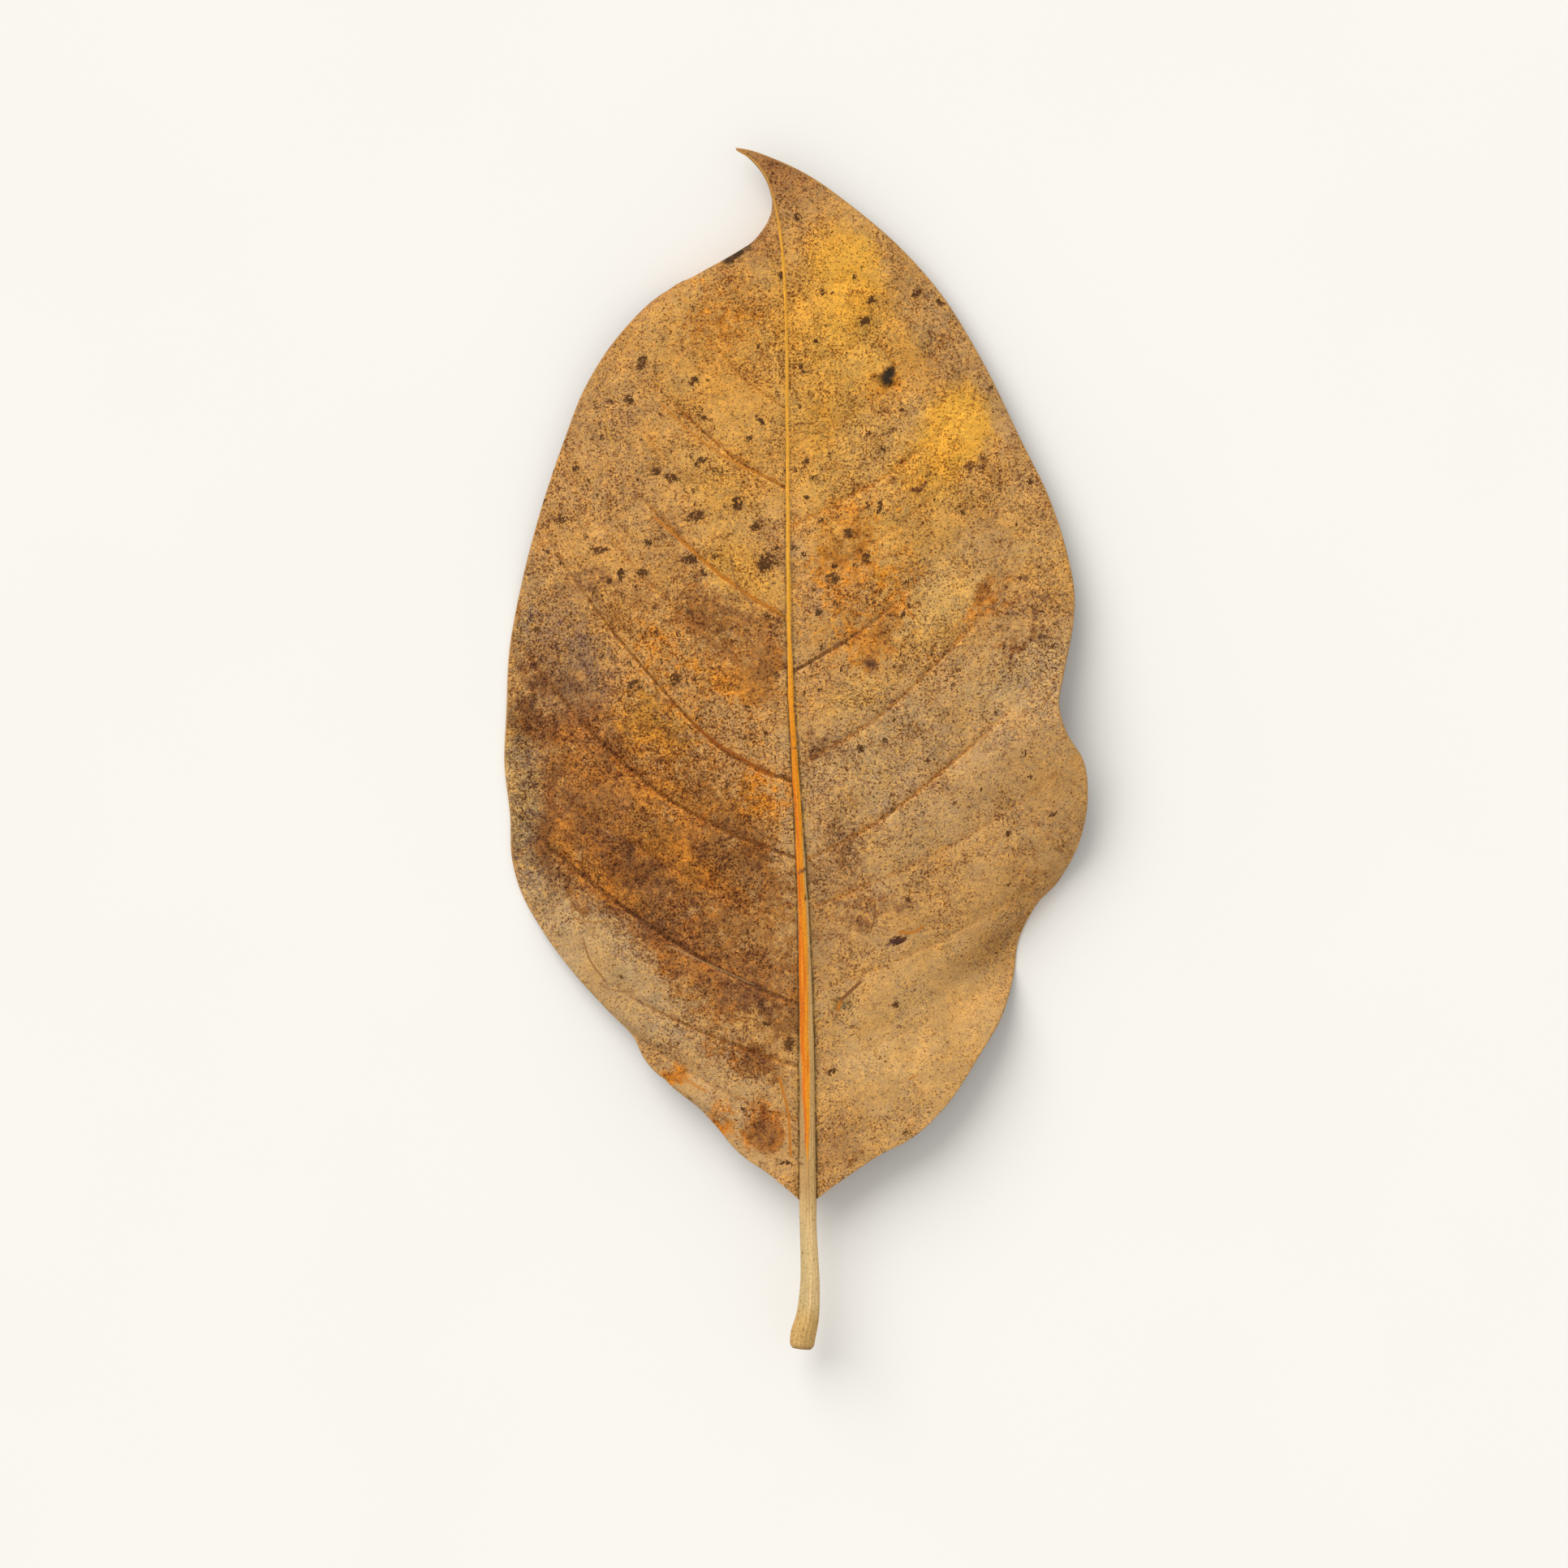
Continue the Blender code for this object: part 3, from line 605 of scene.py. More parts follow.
def along(line, share):
    """Points of a line at shares of its length."""
    length = np.concatenate([[0], np.cumsum(np.linalg.norm(np.diff(line[:, :2], axis=0), axis=1))])
    return np.stack([np.interp(share, length / length[-1], c) for c in line.T], axis=-1)


def table(pairs, x):
    """A smooth reading of a short table of pairs, which never passes beyond the values on either side."""
    known, value = np.array(pairs, float).T
    rise = np.diff(value) / np.diff(known)
    same_way = rise[:-1] * rise[1:] > 0
    both = np.where(same_way, rise[:-1] + rise[1:], 1.0)
    inner = np.where(same_way, 2 * rise[:-1] * rise[1:] / both, 0.0)
    slope = np.concatenate([rise[:1], inner, rise[-1:]])
    k = np.clip(np.searchsorted(known, x, side="right") - 1, 0, len(known) - 2)
    span = known[k + 1] - known[k]
    s = np.clip((x - known[k]) / span, 0, 1)
    ends = value[k] + (3 * s**2 - 2 * s**3) * (value[k + 1] - value[k])
    return ends + span * ((s**3 - 2 * s**2 + s) * slope[k] + (s**3 - s**2) * slope[k + 1])


MIDRIB_LINE = smooth_line(MIDRIB)
MIDRIB_LENGTH = np.linalg.norm(np.diff(MIDRIB_LINE[:, :2], axis=0), axis=1).sum()
HIDDEN_FROM = tuple(along(MIDRIB_LINE, np.array([OUT_OF_SIGHT]))[0, :2])
MARGIN_LINE = {
    "left": smooth_line([*LEFT_MARGIN, HIDDEN_FROM]),
    "right": smooth_line(RIGHT_MARGIN),
}
SWEEP = {"left": LEFT_SWEEP, "right": RIGHT_SWEEP}
DROP = {"left": LEFT_DROP, "right": RIGHT_DROP}
WAVES = {"left": LEFT_WAVES, "right": RIGHT_WAVES}
VEINS = {"left": np.array(LEFT_VEINS), "right": np.array(RIGHT_VEINS)}
LATTICE = np.random.default_rng(LATTICE_SEED).uniform(-1, 1, LATTICE_SHAPE)


def noise(x, y, grain, seed):
    """Smooth noise from -1 to 1, in lumps about as wide as grain."""
    grid = LATTICE[seed % len(LATTICE)]
    size = len(grid)
    u = x / grain + LATTICE_SHIFT[0] * seed
    v = y / grain + LATTICE_SHIFT[1] * seed
    i = np.floor(u).astype(int)
    j = np.floor(v).astype(int)
    s = u - i
    t = v - j
    s = s * s * (3 - 2 * s)
    t = t * t * (3 - 2 * t)
    low = grid[i % size, j % size] * (1 - s) + grid[(i + 1) % size, j % size] * s
    high = grid[i % size, (j + 1) % size] * (1 - s) + grid[(i + 1) % size, (j + 1) % size] * s
    return low * (1 - t) + high * t


def layered(x, y, start, layers):
    """A value with layers of noise added to it."""
    for amount, grain, seed in layers:
        start = start + amount * noise(x, y, grain, seed)
    return start


def ease(x):
    """From 0 to 1 with level ends."""
    x = np.clip(x, 0, 1)
    return x * x * (3 - 2 * x)


def look(colour):
    """A base colour that looks like this daylight colour on level ground, by the usual curve of screens."""
    c = np.array(colour, float) / 255
    linear = np.where(c > 0.04045, ((c + 0.055) / 1.055) ** 2.4, c / 12.92)
    return linear / GROUND_LIGHT


TONE = {name: look(colour) for name, colour in TONES.items()}


def roll(row, reach, f):
    """Distance along the blade, distance out and depth at shares f of the left half's width."""
    turn = np.radians(np.maximum(table(ROLL_TURN, row), 0))
    first = np.minimum(np.arcsin(np.clip(1 - reach / ROLL_RADIUS, 0, 1)), turn)
    straight = np.maximum(reach - ROLL_RADIUS * np.sin(np.minimum(turn, np.pi / 2)), 0)
    across = f * (straight + ROLL_RADIUS * (turn - first))
    angle = first + np.maximum(across - straight, 0) / ROLL_RADIUS
    out = np.minimum(across, straight) + ROLL_RADIUS * (np.sin(angle) - np.sin(first))
    return across, out, ROLL_RADIUS * (np.cos(first) - np.cos(angle))


def left_direction(row):
    """Unit vector in plan along which the rolled half leaves the midrib."""
    middle = np.minimum(row, 1 - TANGENT_STEP)
    ahead = along(MIDRIB_LINE, middle + TANGENT_STEP)
    tangent = (ahead - along(MIDRIB_LINE, middle - TANGENT_STEP))[:, :2]
    turn = np.radians(SIDE_ANGLE)
    x = tangent[:, 0] * np.cos(turn) - tangent[:, 1] * np.sin(turn)
    y = tangent[:, 0] * np.sin(turn) + tangent[:, 1] * np.cos(turn)
    return np.column_stack([x, y]) / np.linalg.norm(tangent, axis=1, keepdims=True)


def reach_to_margin(row, direction):
    """Distance in plan from the midrib to the left margin, and zero where the margin is out of sight."""
    rows, first, back = np.unique(row, return_index=True, return_inverse=True)
    ahead = direction[first, None]
    gap = MARGIN_LINE["left"][None] - along(MIDRIB_LINE, rows)[:, None, :2]
    beside = gap[..., 0] * ahead[..., 1] - gap[..., 1] * ahead[..., 0]
    forward = (gap * ahead).sum(axis=-1)
    crosses = (beside[:, :-1] * beside[:, 1:] <= 0) & (forward[:, 1:] > 0)
    k = np.argmax(crosses, axis=1)
    each = np.arange(len(rows))
    share = beside[each, k] / (beside[each, k] - beside[each, k + 1] + 1e-12)
    reach = forward[each, k] * (1 - share) + forward[each, k + 1] * share
    return np.where(crosses.any(axis=1) & (rows < OUT_OF_SIGHT), reach, 0)[back]


def flattened(z):
    """Heights kept from going below the floor, where the blade lies flat on it."""
    rest = BLADE_THICKNESS / 2
    rounded = rest + (z - rest + REST_BLEND) ** 2 / (4 * REST_BLEND)
    return np.where(z > rest + REST_BLEND, z, np.where(z < rest - REST_BLEND, rest, rounded))


def blade_middle(row, f, side):
    """Points of the blade's smooth middle surface, and the same points with the blade unrolled."""
    rib = along(MIDRIB_LINE, row)
    place = np.clip(table(SWEEP[side], row), 0, 1)
    chord = along(MARGIN_LINE[side], place) - rib[:, :2]
    reach = np.linalg.norm(chord, axis=1)
    direction = chord / np.maximum(reach, 1e-6)[:, None]
    across, out, depth = f * reach, f * reach, np.zeros_like(f)
    if side == "left":
        turned = ease((row - TURNED_FROM) / (TURNED_AT - TURNED_FROM))[:, None]
        direction = direction * (1 - turned) + left_direction(row) * turned
        direction /= np.linalg.norm(direction, axis=1, keepdims=True)
        reach = np.where(row > TURNED_FROM, reach_to_margin(row, direction), reach)
        across, out, depth = roll(row, reach, f)
    towards = 1 if side == "right" else -1
    bow = VEIN_BOW * np.clip(row / BOW_FADE_IN, 0, 1) * 2 * f * (1 - f) * reach * towards
    towards_base = np.column_stack([direction[:, 1], -direction[:, 0]]) * bow[:, None]
    plan = rib[:, :2] + direction * out[:, None] + towards_base
    unrolled = rib[:, :2] + direction * across[:, None] + towards_base
    z = rib[:, 2] - table(DROP[side], row) * f**DROP_POWER - depth
    for at, height, half in WAVES[side]:
        z = z + height * np.exp(-(((place - at) / half) ** 2)) * f**WAVE_POWER
    return np.column_stack([plan, flattened(z)]), unrolled


def blade_normal(row, f, side):
    """Unit normals of the middle surface, towards the sky where the blade lies flat."""
    low, high = np.clip(row - NORMAL_STEP, 0, 1), np.clip(row + NORMAL_STEP, 0, 1)
    inner, outer = np.clip(f - NORMAL_STEP, 0, 1), np.clip(f + NORMAL_STEP, 0, 1)
    up_rib = blade_middle(high, f, side)[0] - blade_middle(low, f, side)[0]
    outwards = blade_middle(row, outer, side)[0] - blade_middle(row, inner, side)[0]
    normal = np.cross(outwards, up_rib) if side == "right" else np.cross(up_rib, outwards)
    return normal / np.maximum(np.linalg.norm(normal, axis=1, keepdims=True), 1e-9)


def vein_fields(row, f, side):
    """The nearest side vein: signed distance to it, how near it is from -1 to 1, strength, darkness."""
    veins = VEINS[side]
    courses = [table(tuple(zip(VEIN_STATIONS, vein[:4])), f) for vein in veins]
    at = np.stack(courses, axis=1)
    near_rib, halfway, margin, dark = veins[:, 4:].T
    ends = np.hstack([2 * at[:, :1] - at[:, 1:2], at, 2 * at[:, -1:] - at[:, -2:-1]])
    step = np.diff(ends, axis=1)
    passed = np.clip((row[:, None] * MIDRIB_LENGTH - ends[:, :-1]) / step, 0, 1)
    count = passed.sum(axis=1) - 1
    between = np.clip(np.floor(count).astype(int) + 1, 0, step.shape[1] - 1)
    spacing = np.take_along_axis(step, between[:, None], axis=1)[:, 0]
    nearest = np.clip(np.round(count).astype(int), 0, len(veins) - 1)
    turn = 2 * np.pi * (count - np.round(count))
    inner = near_rib[nearest] + (halfway - near_rib)[nearest] * f * 2
    outer = halfway[nearest] + (margin - halfway)[nearest] * (f * 2 - 1)
    strength = np.clip(np.where(f < 0.5, inner, outer), 0, 1)
    gap = np.sin(turn) * spacing / (2 * np.pi) * VEIN_SLANT
    fade = np.clip(row / VEIN_FADE_IN, 0, 1) * np.clip((1 - row) / VEIN_FADE_OUT, 0, 1)
    return gap, np.cos(turn), strength * fade, dark[nearest]


def from_midrib(row, unrolled):
    """Distance from the edge of the midrib."""
    return np.linalg.norm(unrolled - along(MIDRIB_LINE, row)[:, :2], axis=1) - table(MIDRIB_RADIUS, row)


def relief(row, f, unrolled, side, crumbs):
    """Heights added to the upper face and to the underside, outwards from the blade's middle."""
    gap, near, strength, _ = vein_fields(row, f, side)
    x, y = unrolled.T
    fade = np.sin(np.pi * np.clip(f, 0, 1)) ** 0.5
    ends = np.clip(row / RELIEF_STARTS, 0, 1) * ease((RELIEF_ENDS - row) / RELIEF_FADE)
    line = np.exp(-((gap / VEIN_HALF_WIDTH) ** 2)) * np.clip(near * 4, 0, 1)
    swell = SWELL_BETWEEN_VEINS * (ease(0.5 - near / 2) - SWELL_MEAN)
    puckers = PUCKER * layered(x, y, 0, PUCKER_LAYERS)
    groove = VEIN_GROOVE * line * (FAINT_VEIN + (1 - FAINT_VEIN) * strength)
    beyond = from_midrib(row, unrolled)
    crease = CREASE_DEPTH * np.exp(-((beyond / CREASE_WIDTH) ** 2))
    crease = crease * np.clip(CREASE_ENDS - row, CREASE_LEAST, 1) * fade.clip(CREASE_AT_MARGIN, 1)
    top = (swell + puckers) * fade * ends - groove * fade * ends
    under = UNDER_RIDGE * line * fade * ends - swell * fade * ends
    return top - crease + CRUMB_HEIGHT * ease(crumbs * CRUMB_STEEPNESS) * fade, under


def warped(x, y):
    """Places moved about a little, so that the edges of stains wander."""
    return layered(x, y, x, WANDER_X), layered(x, y, y, WANDER_Y)


def patch(x, y, middle_x, middle_y, half_length, half_width, turn, softness):
    """How far places lie inside an oval, from 0 to 1."""
    angle = np.radians(turn)
    u = (x - middle_x) * np.cos(angle) + (y - middle_y) * np.sin(angle)
    v = (y - middle_y) * np.cos(angle) - (x - middle_x) * np.sin(angle)
    distance = np.sqrt((u / half_length) ** 2 + (v / half_width) ** 2)
    return ease((1 + softness - distance) / (2 * softness))


def within(x, y, ovals):
    """How far places lie inside the nearest of some ovals, from 0 to 1."""
    return np.max([patch(x, y, *oval) for oval in ovals], axis=0)


def blend(colour, tone, amount):
    """Colours drawn towards a tone by amounts."""
    return colour + (tone - colour) * amount[:, None]


def varied(colour, depth, warmth, warm):
    """Colours made paler or deeper, and warmer or cooler."""
    return colour * depth[:, None] * (1 + warmth[:, None] * np.array(warm))


def plain(tone, count):
    """One tone, as many times as there are points."""
    return np.tile(TONE[tone], (count, 1))


def ground_colour(x, y):
    """Colours of the blade below its stains."""
    wx, wy = warped(x, y)
    colour = plain("tan", len(x))
    for tone, *oval, strength in AREAS:
        colour = blend(colour, TONE[tone], patch(wx, wy, *oval) * strength)
    depth = layered(x, y, GROUND_DEPTH, GROUND_DEPTH_LAYERS)
    warmth = layered(x, y, 0, GROUND_WARMTH_LAYERS)
    return varied(colour, depth, warmth, GROUND_WARM)


def stain_cover(x, y, ground):
    """Colours of the stains, and how thickly they lie, from 0 to 1."""
    wx, wy = warped(x, y)
    colour, cover = ground.copy(), np.zeros(len(x))
    for tone, *oval, strength in STAINS:
        added = patch(wx, wy, *oval) * strength
        total = added + cover * (1 - added)
        colour = blend(colour, TONE[tone], added / np.maximum(total, 1e-6))
        cover = total
    depth = layered(x, y, 1, STAIN_DEPTH_LAYERS)
    warmth = np.maximum(layered(x, y, 0, STAIN_WARMTH_LAYERS), STAIN_COOLEST)
    cover = cover * layered(x, y, STAIN_THICKNESS, STAIN_THICKNESS_LAYERS)
    return varied(colour, depth, warmth, STAIN_WARM), cover


def scattered_crumbs():
    """Small crumbs strewn over the blade, thickest on the middle of its left half."""
    rng = np.random.default_rng(CRUMB_SEED)
    crumbs = []
    while len(crumbs) < SMALL_CRUMBS:
        x, y = rng.uniform(*STREWN_X), rng.uniform(*STREWN_Y)
        here = (np.array([x]), np.array([y]))
        likely = CRUMBS_ANYWHERE
        for *oval, more in MORE_CRUMBS:
            likely = likely + more * patch(*here, *oval)
        likely = likely * (1 - CRUMBS_MISSING * patch(*here, *FEW_CRUMBS))
        if rng.random() < likely[0]:
            half = rng.uniform(*SMALL_CRUMB_SIZES)
            crumbs.append((x, y, half, half * rng.uniform(*SMALL_CRUMB_SHAPES), rng.uniform(0, 180)))
    return crumbs


def crumb_cover(x, y):
    """How thickly crumbs lie, from 0 to 1."""
    cover = np.zeros(len(x))
    for mx, my, length, width, turn in [*CRUMBS, *scattered_crumbs()]:
        close = np.hypot(x - mx, y - my) < CRUMB_REACH * length
        inside = patch(x[close], y[close], mx, my, length, width, turn, CRUMB_SOFTNESS)
        cover[close] = np.maximum(cover[close], inside)
    return cover


def thread_fields(x, y):
    """Signed distance to the nearest thread, how plain it is, its half width and its colour."""
    best = np.full(len(x), NO_THREAD)
    signed, clear, half_width = best.copy(), np.zeros(len(x)), np.full(len(x), NO_THREAD_WIDTH)
    colour = plain("brown", len(x))
    for tone, half, strength, points in THREADS:
        line = smooth_line(points, THREAD_STEPS)
        for (ax, ay), (bx, by) in zip(line[:-1], line[1:]):
            dx, dy = bx - ax, by - ay
            length = np.hypot(dx, dy)
            t = ((x - ax) * dx + (y - ay) * dy) / length**2
            held = np.clip(t, 0, 1)
            distance = np.hypot(x - ax - held * dx, y - ay - held * dy)
            closer = distance < best
            beside = ((y - ay) * dx - (x - ax) * dy) / length
            past_end = np.abs(t - held) * length
            best = np.where(closer, distance, best)
            signed = np.where(closer, np.sign(beside) * distance, signed)
            here = strength * np.clip(THREAD_END - past_end * THREAD_FADE, 0, 1)
            clear = np.where(closer, here, clear)
            half_width = np.where(closer, half, half_width)
            colour[closer] = TONE[tone]
    return signed, clear, half_width, colour


def grain_amount(x, y):
    """How thickly the fine dark grain lies on the blade."""
    less = CLEAN_SHARE * within(x, y, CLEAN_OVALS)
    least = YELLOW_SHARE * within(x, y, YELLOW_OVALS)
    more = DARK_SHARE * within(x, y, DARK_OVALS)
    return np.clip(GRAIN_ANYWHERE - less - least + more + layered(x, y, 0, GRAIN_LAYERS), 0, GRAIN_MOST)


def under_colour(row, f, unrolled, side):
    """Colours of the felted underside."""
    x, y = unrolled.T
    _, near, _, _ = vein_fields(row, f, side)
    on_veins = ease(near * 3 - 2) * FELT_ON_VEINS
    colour = blend(plain("felt", len(x)), TONE["felt on veins"], on_veins)
    return colour * layered(x, y, 1, FELT_LAYERS)[:, None]


def world_points(points):
    """Points of the leaf's frame in metres in the frame of the part."""
    return (points - np.array([*BOX_MIDDLE, 0.0])) * MM


def loft(name, rings):
    """A closed solid through rings of points that each run out along one face and back along the other."""
    count, size = rings.shape[:2]
    index = np.arange(count * size).reshape(count, size)
    near, far = index[:-1], index[1:]
    skin = np.stack([near, np.roll(near, -1, 1), np.roll(far, -1, 1), far], -1).reshape(-1, 4)
    first = np.arange(size // 2 - 1)
    strip = np.stack([first, first + 1, size - 2 - first, size - 1 - first], -1)
    faces = np.vstack([skin, index[0][strip], index[-1][strip]])
    mesh = bpy.data.meshes.new(name)
    mesh.from_pydata(world_points(rings.reshape(-1, 3)).tolist(), [], faces.tolist())
    shape = bmesh.new()
    shape.from_mesh(mesh)
    bmesh.ops.recalc_face_normals(shape, faces=shape.faces)
    shape.to_mesh(mesh)
    shape.free()
    mesh.shade_smooth()
    piece = bpy.data.objects.new(name, mesh)
    bpy.context.scene.collection.objects.link(piece)
    return piece


def add_colour(mesh, name, values, alpha=None):
    """A colour for each point, with a share beside it."""
    alpha = np.ones(len(values)) if alpha is None else alpha
    layer = mesh.attributes.new(name, "FLOAT_COLOR", "POINT")
    layer.data.foreach_set("color", np.column_stack([values, alpha]).astype("f4").ravel())


def add_vector(mesh, name, values):
    """Three numbers for each point."""
    layer = mesh.attributes.new(name, "FLOAT_VECTOR", "POINT")
    layer.data.foreach_set("vector", np.column_stack(values).astype("f4").ravel())


def paint_blade(mesh, row, f, lift, unrolled, side, from_margin, crumbs):
    """The attributes that the blade's two materials read."""
    x, y = unrolled.T
    is_top = lift > UNDERSIDE_FROM
    ground = ground_colour(x, y)
    stain, cover = stain_cover(x, y, ground)
    gap, near, strength, dark = vein_fields(row, f, side)
    signed, clear, half_width, thread_tone = thread_fields(x, y)
    add_colour(mesh, "tone", np.where(is_top[:, None], ground, under_colour(row, f, unrolled, side)))
    add_colour(mesh, "stain", stain, cover)
    add_colour(mesh, "thread_tone", thread_tone)
    add_vector(mesh, "vein", (gap, near, strength))
    add_vector(mesh, "marks", (grain_amount(x, y), dark, crumbs))
    add_vector(mesh, "thread", (signed, clear, half_width))
    add_vector(mesh, "edges", (from_midrib(row, unrolled), from_margin, row))


def build_half(side, upper, underside):
    """One half of the blade, from inside the midrib out to its rounded rim."""
    rows = np.linspace(0, BLADE_ENDS, ROWS)
    across = np.tile(np.linspace(0, 1, WIDTH_STEPS), ROWS)
    line = blade_middle(np.repeat(rows, WIDTH_STEPS), across, side)[0].reshape(ROWS, WIDTH_STEPS, 3)
    width = np.linalg.norm(np.diff(line, axis=1), axis=2).sum(axis=1)
    rim_share = np.clip(RIM_ROUND / width, 0, 0.5)

    out = np.linspace(0, 1, COLUMNS)
    angle = np.linspace(0, np.pi, RIM_STEPS + 2)[1:-1]
    face_f = SEAM_SHARE + (1 - rim_share[:, None] - SEAM_SHARE) * out[None, :]
    rim_f = 1 - rim_share[:, None] * (1 - np.sin(angle)[None, :])
    f = np.hstack([face_f, rim_f, face_f[:, ::-1]])
    lift = np.concatenate([np.ones(COLUMNS), np.cos(angle), -np.ones(COLUMNS)])
    size = f.shape[1]
    row = np.repeat(rows, size)
    f = f.ravel()
    lift = np.tile(lift, ROWS)

    middle, unrolled = blade_middle(row, f, side)
    crumbs = crumb_cover(*unrolled.T)
    top, under = relief(row, f, unrolled, side, crumbs)
    half = BLADE_THICKNESS / 2 * (TIP_THICKNESS + (1 - TIP_THICKNESS) * ease((1 - row) / TIP_TAPER))
    height = np.where(lift > 0, lift * half + lift * top, lift * half + lift * under)
    points = middle + blade_normal(row, f, side) * height[:, None]
    points[:, 2] = np.maximum(points[:, 2], 0)
    piece = loft(f"blade_{side}_half", points.reshape(ROWS, size, 3))

    mesh = piece.data
    paint_blade(mesh, row, f, lift, unrolled, side, (1 - f) * np.repeat(width, size), crumbs)
    mesh.materials.append(upper)
    mesh.materials.append(underside)
    column = np.arange((ROWS - 1) * size) % size
    index = np.zeros(len(mesh.polygons), dtype=int)
    index[: len(column)] = column >= COLUMNS + RIM_STEPS - 1
    mesh.polygons.foreach_set("material_index", index)
    mesh.update()
    return piece


def rib_line():
    """Middle line and radius of the petiole and the midrib."""
    share = np.linspace(0, 1, MIDRIB_STEPS)
    rib = along(MIDRIB_LINE, share)
    rib[:, 2] -= table(MIDRIB_SAG, share)
    rib = np.column_stack([rib, table(MIDRIB_RADIUS, share)])
    stalk = smooth_line(np.vstack([np.array(PETIOLE), rib[:1]]))
    line = along(np.vstack([stalk[:-1], rib]), np.linspace(0, 1, RIB_STEPS))
    to_tip = np.linalg.norm(line[:, :2] - line[-1, :2], axis=1)
    line[:, 3] *= np.sqrt(1 - np.clip(1 - to_tip / RIB_TIP, 0, RIB_BLUNTNESS) ** 2)
    return line


def streaks(angle, y, rows):
    """Long streaks on the midrib and petiole."""
    return sum(
        amount * noise(angle * around, y * length, 1.0, seed)
        for amount, around, length, seed in rows
    )


def arrived(y, start, way):
    """From 0 to 1 as y goes from a start along a way, which is below zero where it leads to the base."""
    return ease((y - start) / way)


def changed(colour, y, changes):
    """Colours with tones that come in one after another along the midrib."""
    for tone, start, way, strength in changes:
        colour = blend(colour, TONE[tone], arrived(y, start, way) * strength)
    return colour


def core_colour(angle, y):
    """The midrib's core: golden towards the tip, with red streaks on its left towards the base."""
    leftwards = RED_MIDDLE - np.cos(angle) * RED_LEAN + streaks(angle, y, RED_STREAKS)
    red = ease(leftwards) * arrived(y, *RED_FROM)
    return blend(changed(plain("core", len(y)), y, CORE_CHANGES), TONE["red core"], red * RED_STRENGTH)


def rib_colour(angle, x, y):
    """Colours of the midrib and petiole: an orange core between beige flanks, and a pale petiole."""
    across = np.cos(angle)
    streak = streaks(angle, y, CORE_STREAKS)
    flank = blend(plain("flank", len(y)), TONE["lit flank"], ease(across * FLANK_LIGHT))
    beside = np.abs(across - table(CORE_MIDDLE, y))
    inside = (table(CORE_HALF_WIDTH, y) - beside) / CORE_EDGE + 0.5 + 0.5 * streak
    colour = blend(flank, core_colour(angle, y), ease(inside))
    petiole = arrived(y, *PETIOLE_FROM)
    shade = petiole * ease(-across * 2 + 0.4 * streak + 0.1)
    colour = blend(colour, TONE["petiole"], petiole * PETIOLE_STRENGTH)
    colour = blend(colour, TONE["shaded petiole"], shade * PETIOLE_SHADE)
    colour = changed(colour, y, PETIOLE_CHANGES)
    for tone, *oval in RIB_MARKS:
        mark = patch(x, y, *oval, RIB_MARK_SOFTNESS)
        colour = blend(colour, TONE[tone], mark * RIB_MARK_STRENGTH)
    return colour * (1 + STREAK_DEPTH * streak)[:, None]


def build_rib(material):
    """The midrib and petiole: one tapered, slightly fibrous rod, flared and rounded at its cut end."""
    line = rib_line()
    points, radius = line[:, :3], line[:, 3]
    tangent = np.gradient(points, axis=0)
    tangent /= np.linalg.norm(tangent, axis=1, keepdims=True)
    across = np.cross(tangent, np.array([0.0, 0.0, 1.0]))
    across /= np.linalg.norm(across, axis=1, keepdims=True)
    upright = np.cross(across, tangent)
    angle = np.linspace(0, 2 * np.pi, RIB_SIDES, endpoint=False) + np.pi / RIB_SIDES
    ring_angle, along_y = np.tile(angle, RIB_STEPS), np.repeat(points[:, 1], RIB_SIDES)
    wander = FIBRE_WANDER * noise(along_y * FIBRE_TWIST, ring_angle, 1.0, 8)
    fibres = FIBRE_HEIGHT * (np.cos(ring_angle * RIB_FIBRES + wander) - 1)
    around = np.repeat(radius, RIB_SIDES)
    skin = around * (1 + LUMP_HEIGHT * streaks(ring_angle, along_y, LUMPS) + fibres)
    sideways = np.cos(angle)[None, :, None] * across[:, None, :]
    upwards = np.sin(angle)[None, :, None] * upright[:, None, :]
    rings = points[:, None, :] + skin.reshape(RIB_STEPS, RIB_SIDES, 1) * (sideways + upwards)
    piece = loft("midrib_and_petiole", rings)
    mesh = piece.data
    x, y = rings.reshape(-1, 3)[:, :2].T
    add_colour(mesh, "tone", rib_colour(ring_angle, x, y))
    add_vector(mesh, "fibre", (around * ring_angle, along_y * FIBRE_STRETCH, np.zeros(len(along_y))))
    mesh.materials.append(material)
    return piece


